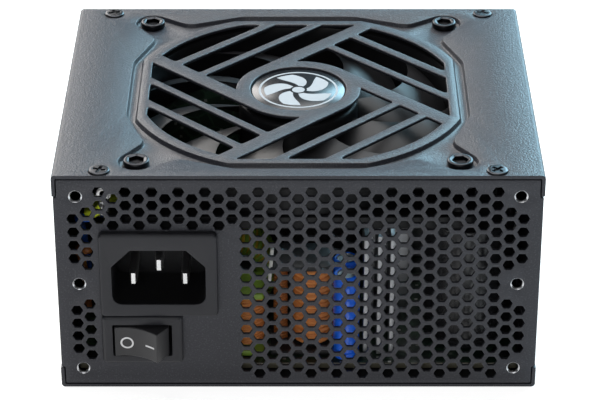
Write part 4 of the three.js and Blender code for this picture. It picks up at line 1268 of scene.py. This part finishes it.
def boxCapacitor():
    # potted box capacitor: rounded box on a narrower base, with its resin top set in
    low, high = boxOf("safety_capacitor")
    shell = Shell()
    outline = rectLoop(low[0], high[0], low[1], high[1], 1.3)
    rise = high[2] - low[2]
    shell.sweep(outline, [(-1.0, 0), (-0.9, 0.7), (0, 0.7), (0, rise - 0.5), (-0.15, rise - 0.13),
                          (-0.5, rise)],
                above(low[2]))
    return shell.piece("safety_box", "case", finish["yellow"], "safety_capacitor", "yellow_case", smooth=35)


def boardPiece():
    low, high = boxOf("main_board")
    posts = [middleOf(f"standoff_{i}")[:2] for i in range(1, 5)]
    shell = Shell()
    outline, thick = rectLoop(low[0], high[0], low[1], high[1], 1.0), high[2] - low[2]
    shell.plate(outline, rimOut(0.08, thick), above(low[2]), [circleLoop(x, y, 1.8, 24) for x, y in posts],
                rimIn(0.05, thick))
    shell.piece("board_main", "case", finish["board"], "main_board", "circuit_board", smooth=30)


boardPiece()
lineChoke()
surgeChoke()
for i in (1, 2):
    uprightCan(f"blue_can_{i}", f"blue_capacitor_{i}", finish["blue"], "blue_epoxy")
for i in (1, 2, 3):
    uprightCan(f"output_can_{i}", f"output_capacitor_{i}", finish["sleeve"], "black_sleeve")
uprightCan("bulk_can", "bulk_capacitor", finish["sleeve"], "black_sleeve")
finBlock("sink_primary", "primary_heatsink", (0, 0.31, 0.6))
finBlock("sink_secondary", "secondary_heatsink", (0, 0.2, 0.4, 0.6, 0.8, 1))
woundRing("choke_boost", "boost_choke", finish["green"], "choke_core", 0.6, 34, finish["yellow"])
woundRing("choke_output", "output_choke", finish["copper"], "copper_winding", 0.5, 26, finish["yellow"])
transformerPiece()
boxCapacitor()
for kind in ("neutral", "live", "earth"):
    wirePiece(f"{kind}_wire", kind)
print("inside made")


def leadSocket(node):
    low, high = boxOf(node)
    pitch = 4.2
    across = int(round((high[0] - low[0] - 1.4) / pitch))
    cx, back, cz = (low[0] + high[0]) / 2, high[1], (low[2] + high[2]) / 2
    place = standingBack(back)
    outer = grownBox(node, 0, 0.5)
    cells, pins = [], []
    for i in range(across):
        x = cx + (i - (across - 1) / 2) * pitch
        for k, z in enumerate((cz - pitch / 2, cz + pitch / 2)):
            # cells are square or have two cut corners, in turn
            cut = 0.8 if (i + k) % 2 else 0.25
            cells.append(centred(x, z, 3.4, 3.4, [0.2, 0.2, cut, cut], 3))
            pins.append((x, z))
    shell = Shell()
    rim = [(0.15, 0), (0.03, 0.05), (0, 0.2), (0, 9.0)]
    shell.grids([place(offsetLoop(outer, o), d) for o, d in ((-0.25, 0), (-0.07, 0.07), (0, 0.25),
                                                             (0, high[1] - low[1]))], closeV=True)
    shell.fill(offsetLoop(outer, -0.25), [offsetLoop(c, 0.15) for c in cells], place, 0.0)
    shell.fill(outer, [], place, high[1] - low[1])
    for c in cells:
        shell.band(c, rim, place)
        shell.fill(c, [], place, 9.0)
    shell.piece(f"{node}_body", "case", finish["moulded"], node, "moulded_black", smooth=30)
    contacts = Shell()
    for x, z in pins:
        section = centred(x, z, 1.0, 1.0, 0.3, 3)
        contacts.sweep(section, [(-0.24, 2.6), (-0.05, 3.1), (0, 3.5), (0, 9.2)], place)
    contacts.piece(f"{node}_contacts", "case", finish["contact"], slot="contact_metal", smooth=30)


for node in sockets:
    leadSocket(node)
print("lead sockets made")


carried = {"fan_shaft": "contact", "fan_bearing": "brass", "fan_stator": "copper",
           "insulating_sheet": "insulator",
           "socket_board": "board"}
for i in range(1, 5):
    carried[f"standoff_{i}"] = "brass"
    carried[f"board_screw_{i}"] = "screw"
for node, kind in carried.items():
    for place in frame["nodes"][node].material_slots:
        place.material = finish[kind]


view = {"at": (0.44, -602.3, 365.5), "pitch": 29.22, "lens": 149.94}
cameraData = bpy.data.cameras.new("camera")
cameraData.lens = view["lens"]
cameraData.sensor_width = 36
cameraData.clip_end = 50
camera = bpy.data.objects.new("camera", cameraData)
camera.location = [c * mm for c in view["at"]]
camera.rotation_euler = (math.radians(90 - view["pitch"]), 0, 0)
bpy.context.scene.collection.objects.link(camera)
bpy.context.scene.camera = camera

studio = {"fill": 0.05, "overhead": 14.0, "left": 16.0, "right": 33.0, "front": 5.5, "floorGlow": 0.88}

floorMesh = bpy.data.meshes.new("floor")
floorMesh.from_pydata([(-6, -6, 0), (6, -6, 0), (6, 6, 0), (-6, 6, 0)], [], [(0, 1, 2, 3)])
floor = bpy.data.objects.new("floor", floorMesh)
floor.location.z = -0.0002
paper = bpy.data.materials.new("floor_paper")
paper.use_nodes = True
paperSide = paper.node_tree.nodes["Principled BSDF"].inputs
paperSide["Base Color"].default_value = (0.45, 0.45, 0.45, 1)
paperSide["Roughness"].default_value = 0.9
paperSide["Emission Color"].default_value = (1, 1, 1, 1)
paperSide["Emission Strength"].default_value = studio["floorGlow"]
floorMesh.materials.append(paper)
bpy.context.scene.collection.objects.link(floor)

world = bpy.data.worlds.new("studio")
world.use_nodes = True
backdrop = world.node_tree.nodes["Background"]
backdrop.inputs["Strength"].default_value = 1.0
fill = world.node_tree.nodes.new("ShaderNodeBackground")
fill.inputs["Color"].default_value = (0.93, 0.95, 1.0, 1)
fill.inputs["Strength"].default_value = studio["fill"]
backdrop.inputs["Color"].default_value = (1, 1, 1, 1)
ray = world.node_tree.nodes.new("ShaderNodeLightPath")
either = world.node_tree.nodes.new("ShaderNodeMixShader")
world.node_tree.links.new(ray.outputs["Is Camera Ray"], either.inputs[0])
world.node_tree.links.new(fill.outputs[0], either.inputs[1])
world.node_tree.links.new(backdrop.outputs[0], either.inputs[2])
world.node_tree.links.new(either.outputs[0], world.node_tree.nodes["World Output"].inputs[0])
bpy.context.scene.world = world
bpy.context.scene.view_settings.view_transform = "Standard"


def softbox(name, at, aim, size, watts, colour=(1, 1, 1)):
    data = bpy.data.lights.new(name, "AREA")
    data.shape = "RECTANGLE"
    data.size, data.size_y = size
    data.energy = watts
    data.color = colour
    lamp = bpy.data.objects.new(name, data)
    lamp.location = at
    lamp.rotation_euler = (Vector(aim) - Vector(at)).to_track_quat("-Z", "Y").to_euler()
    lamp.visible_camera = False
    bpy.context.scene.collection.objects.link(lamp)


softbox("overhead", (-0.1, 0.3, 0.95), (0, 0, 0.05), (0.9, 0.7), studio["overhead"])
softbox("back_left", (-0.62, 1.08, 0.64), (0, 0, 0.06), (0.8, 0.6), studio["left"], (1.0, 0.97, 0.94))
softbox("back_right", (0.66, 1.06, 0.64), (0, 0, 0.06), (0.9, 0.6), studio["right"], (0.48, 0.82, 1.0))
softbox("front", (-0.15, -1.3, 0.75), (0, 0, 0.03), (0.7, 0.5), studio["front"])
print("studio made")
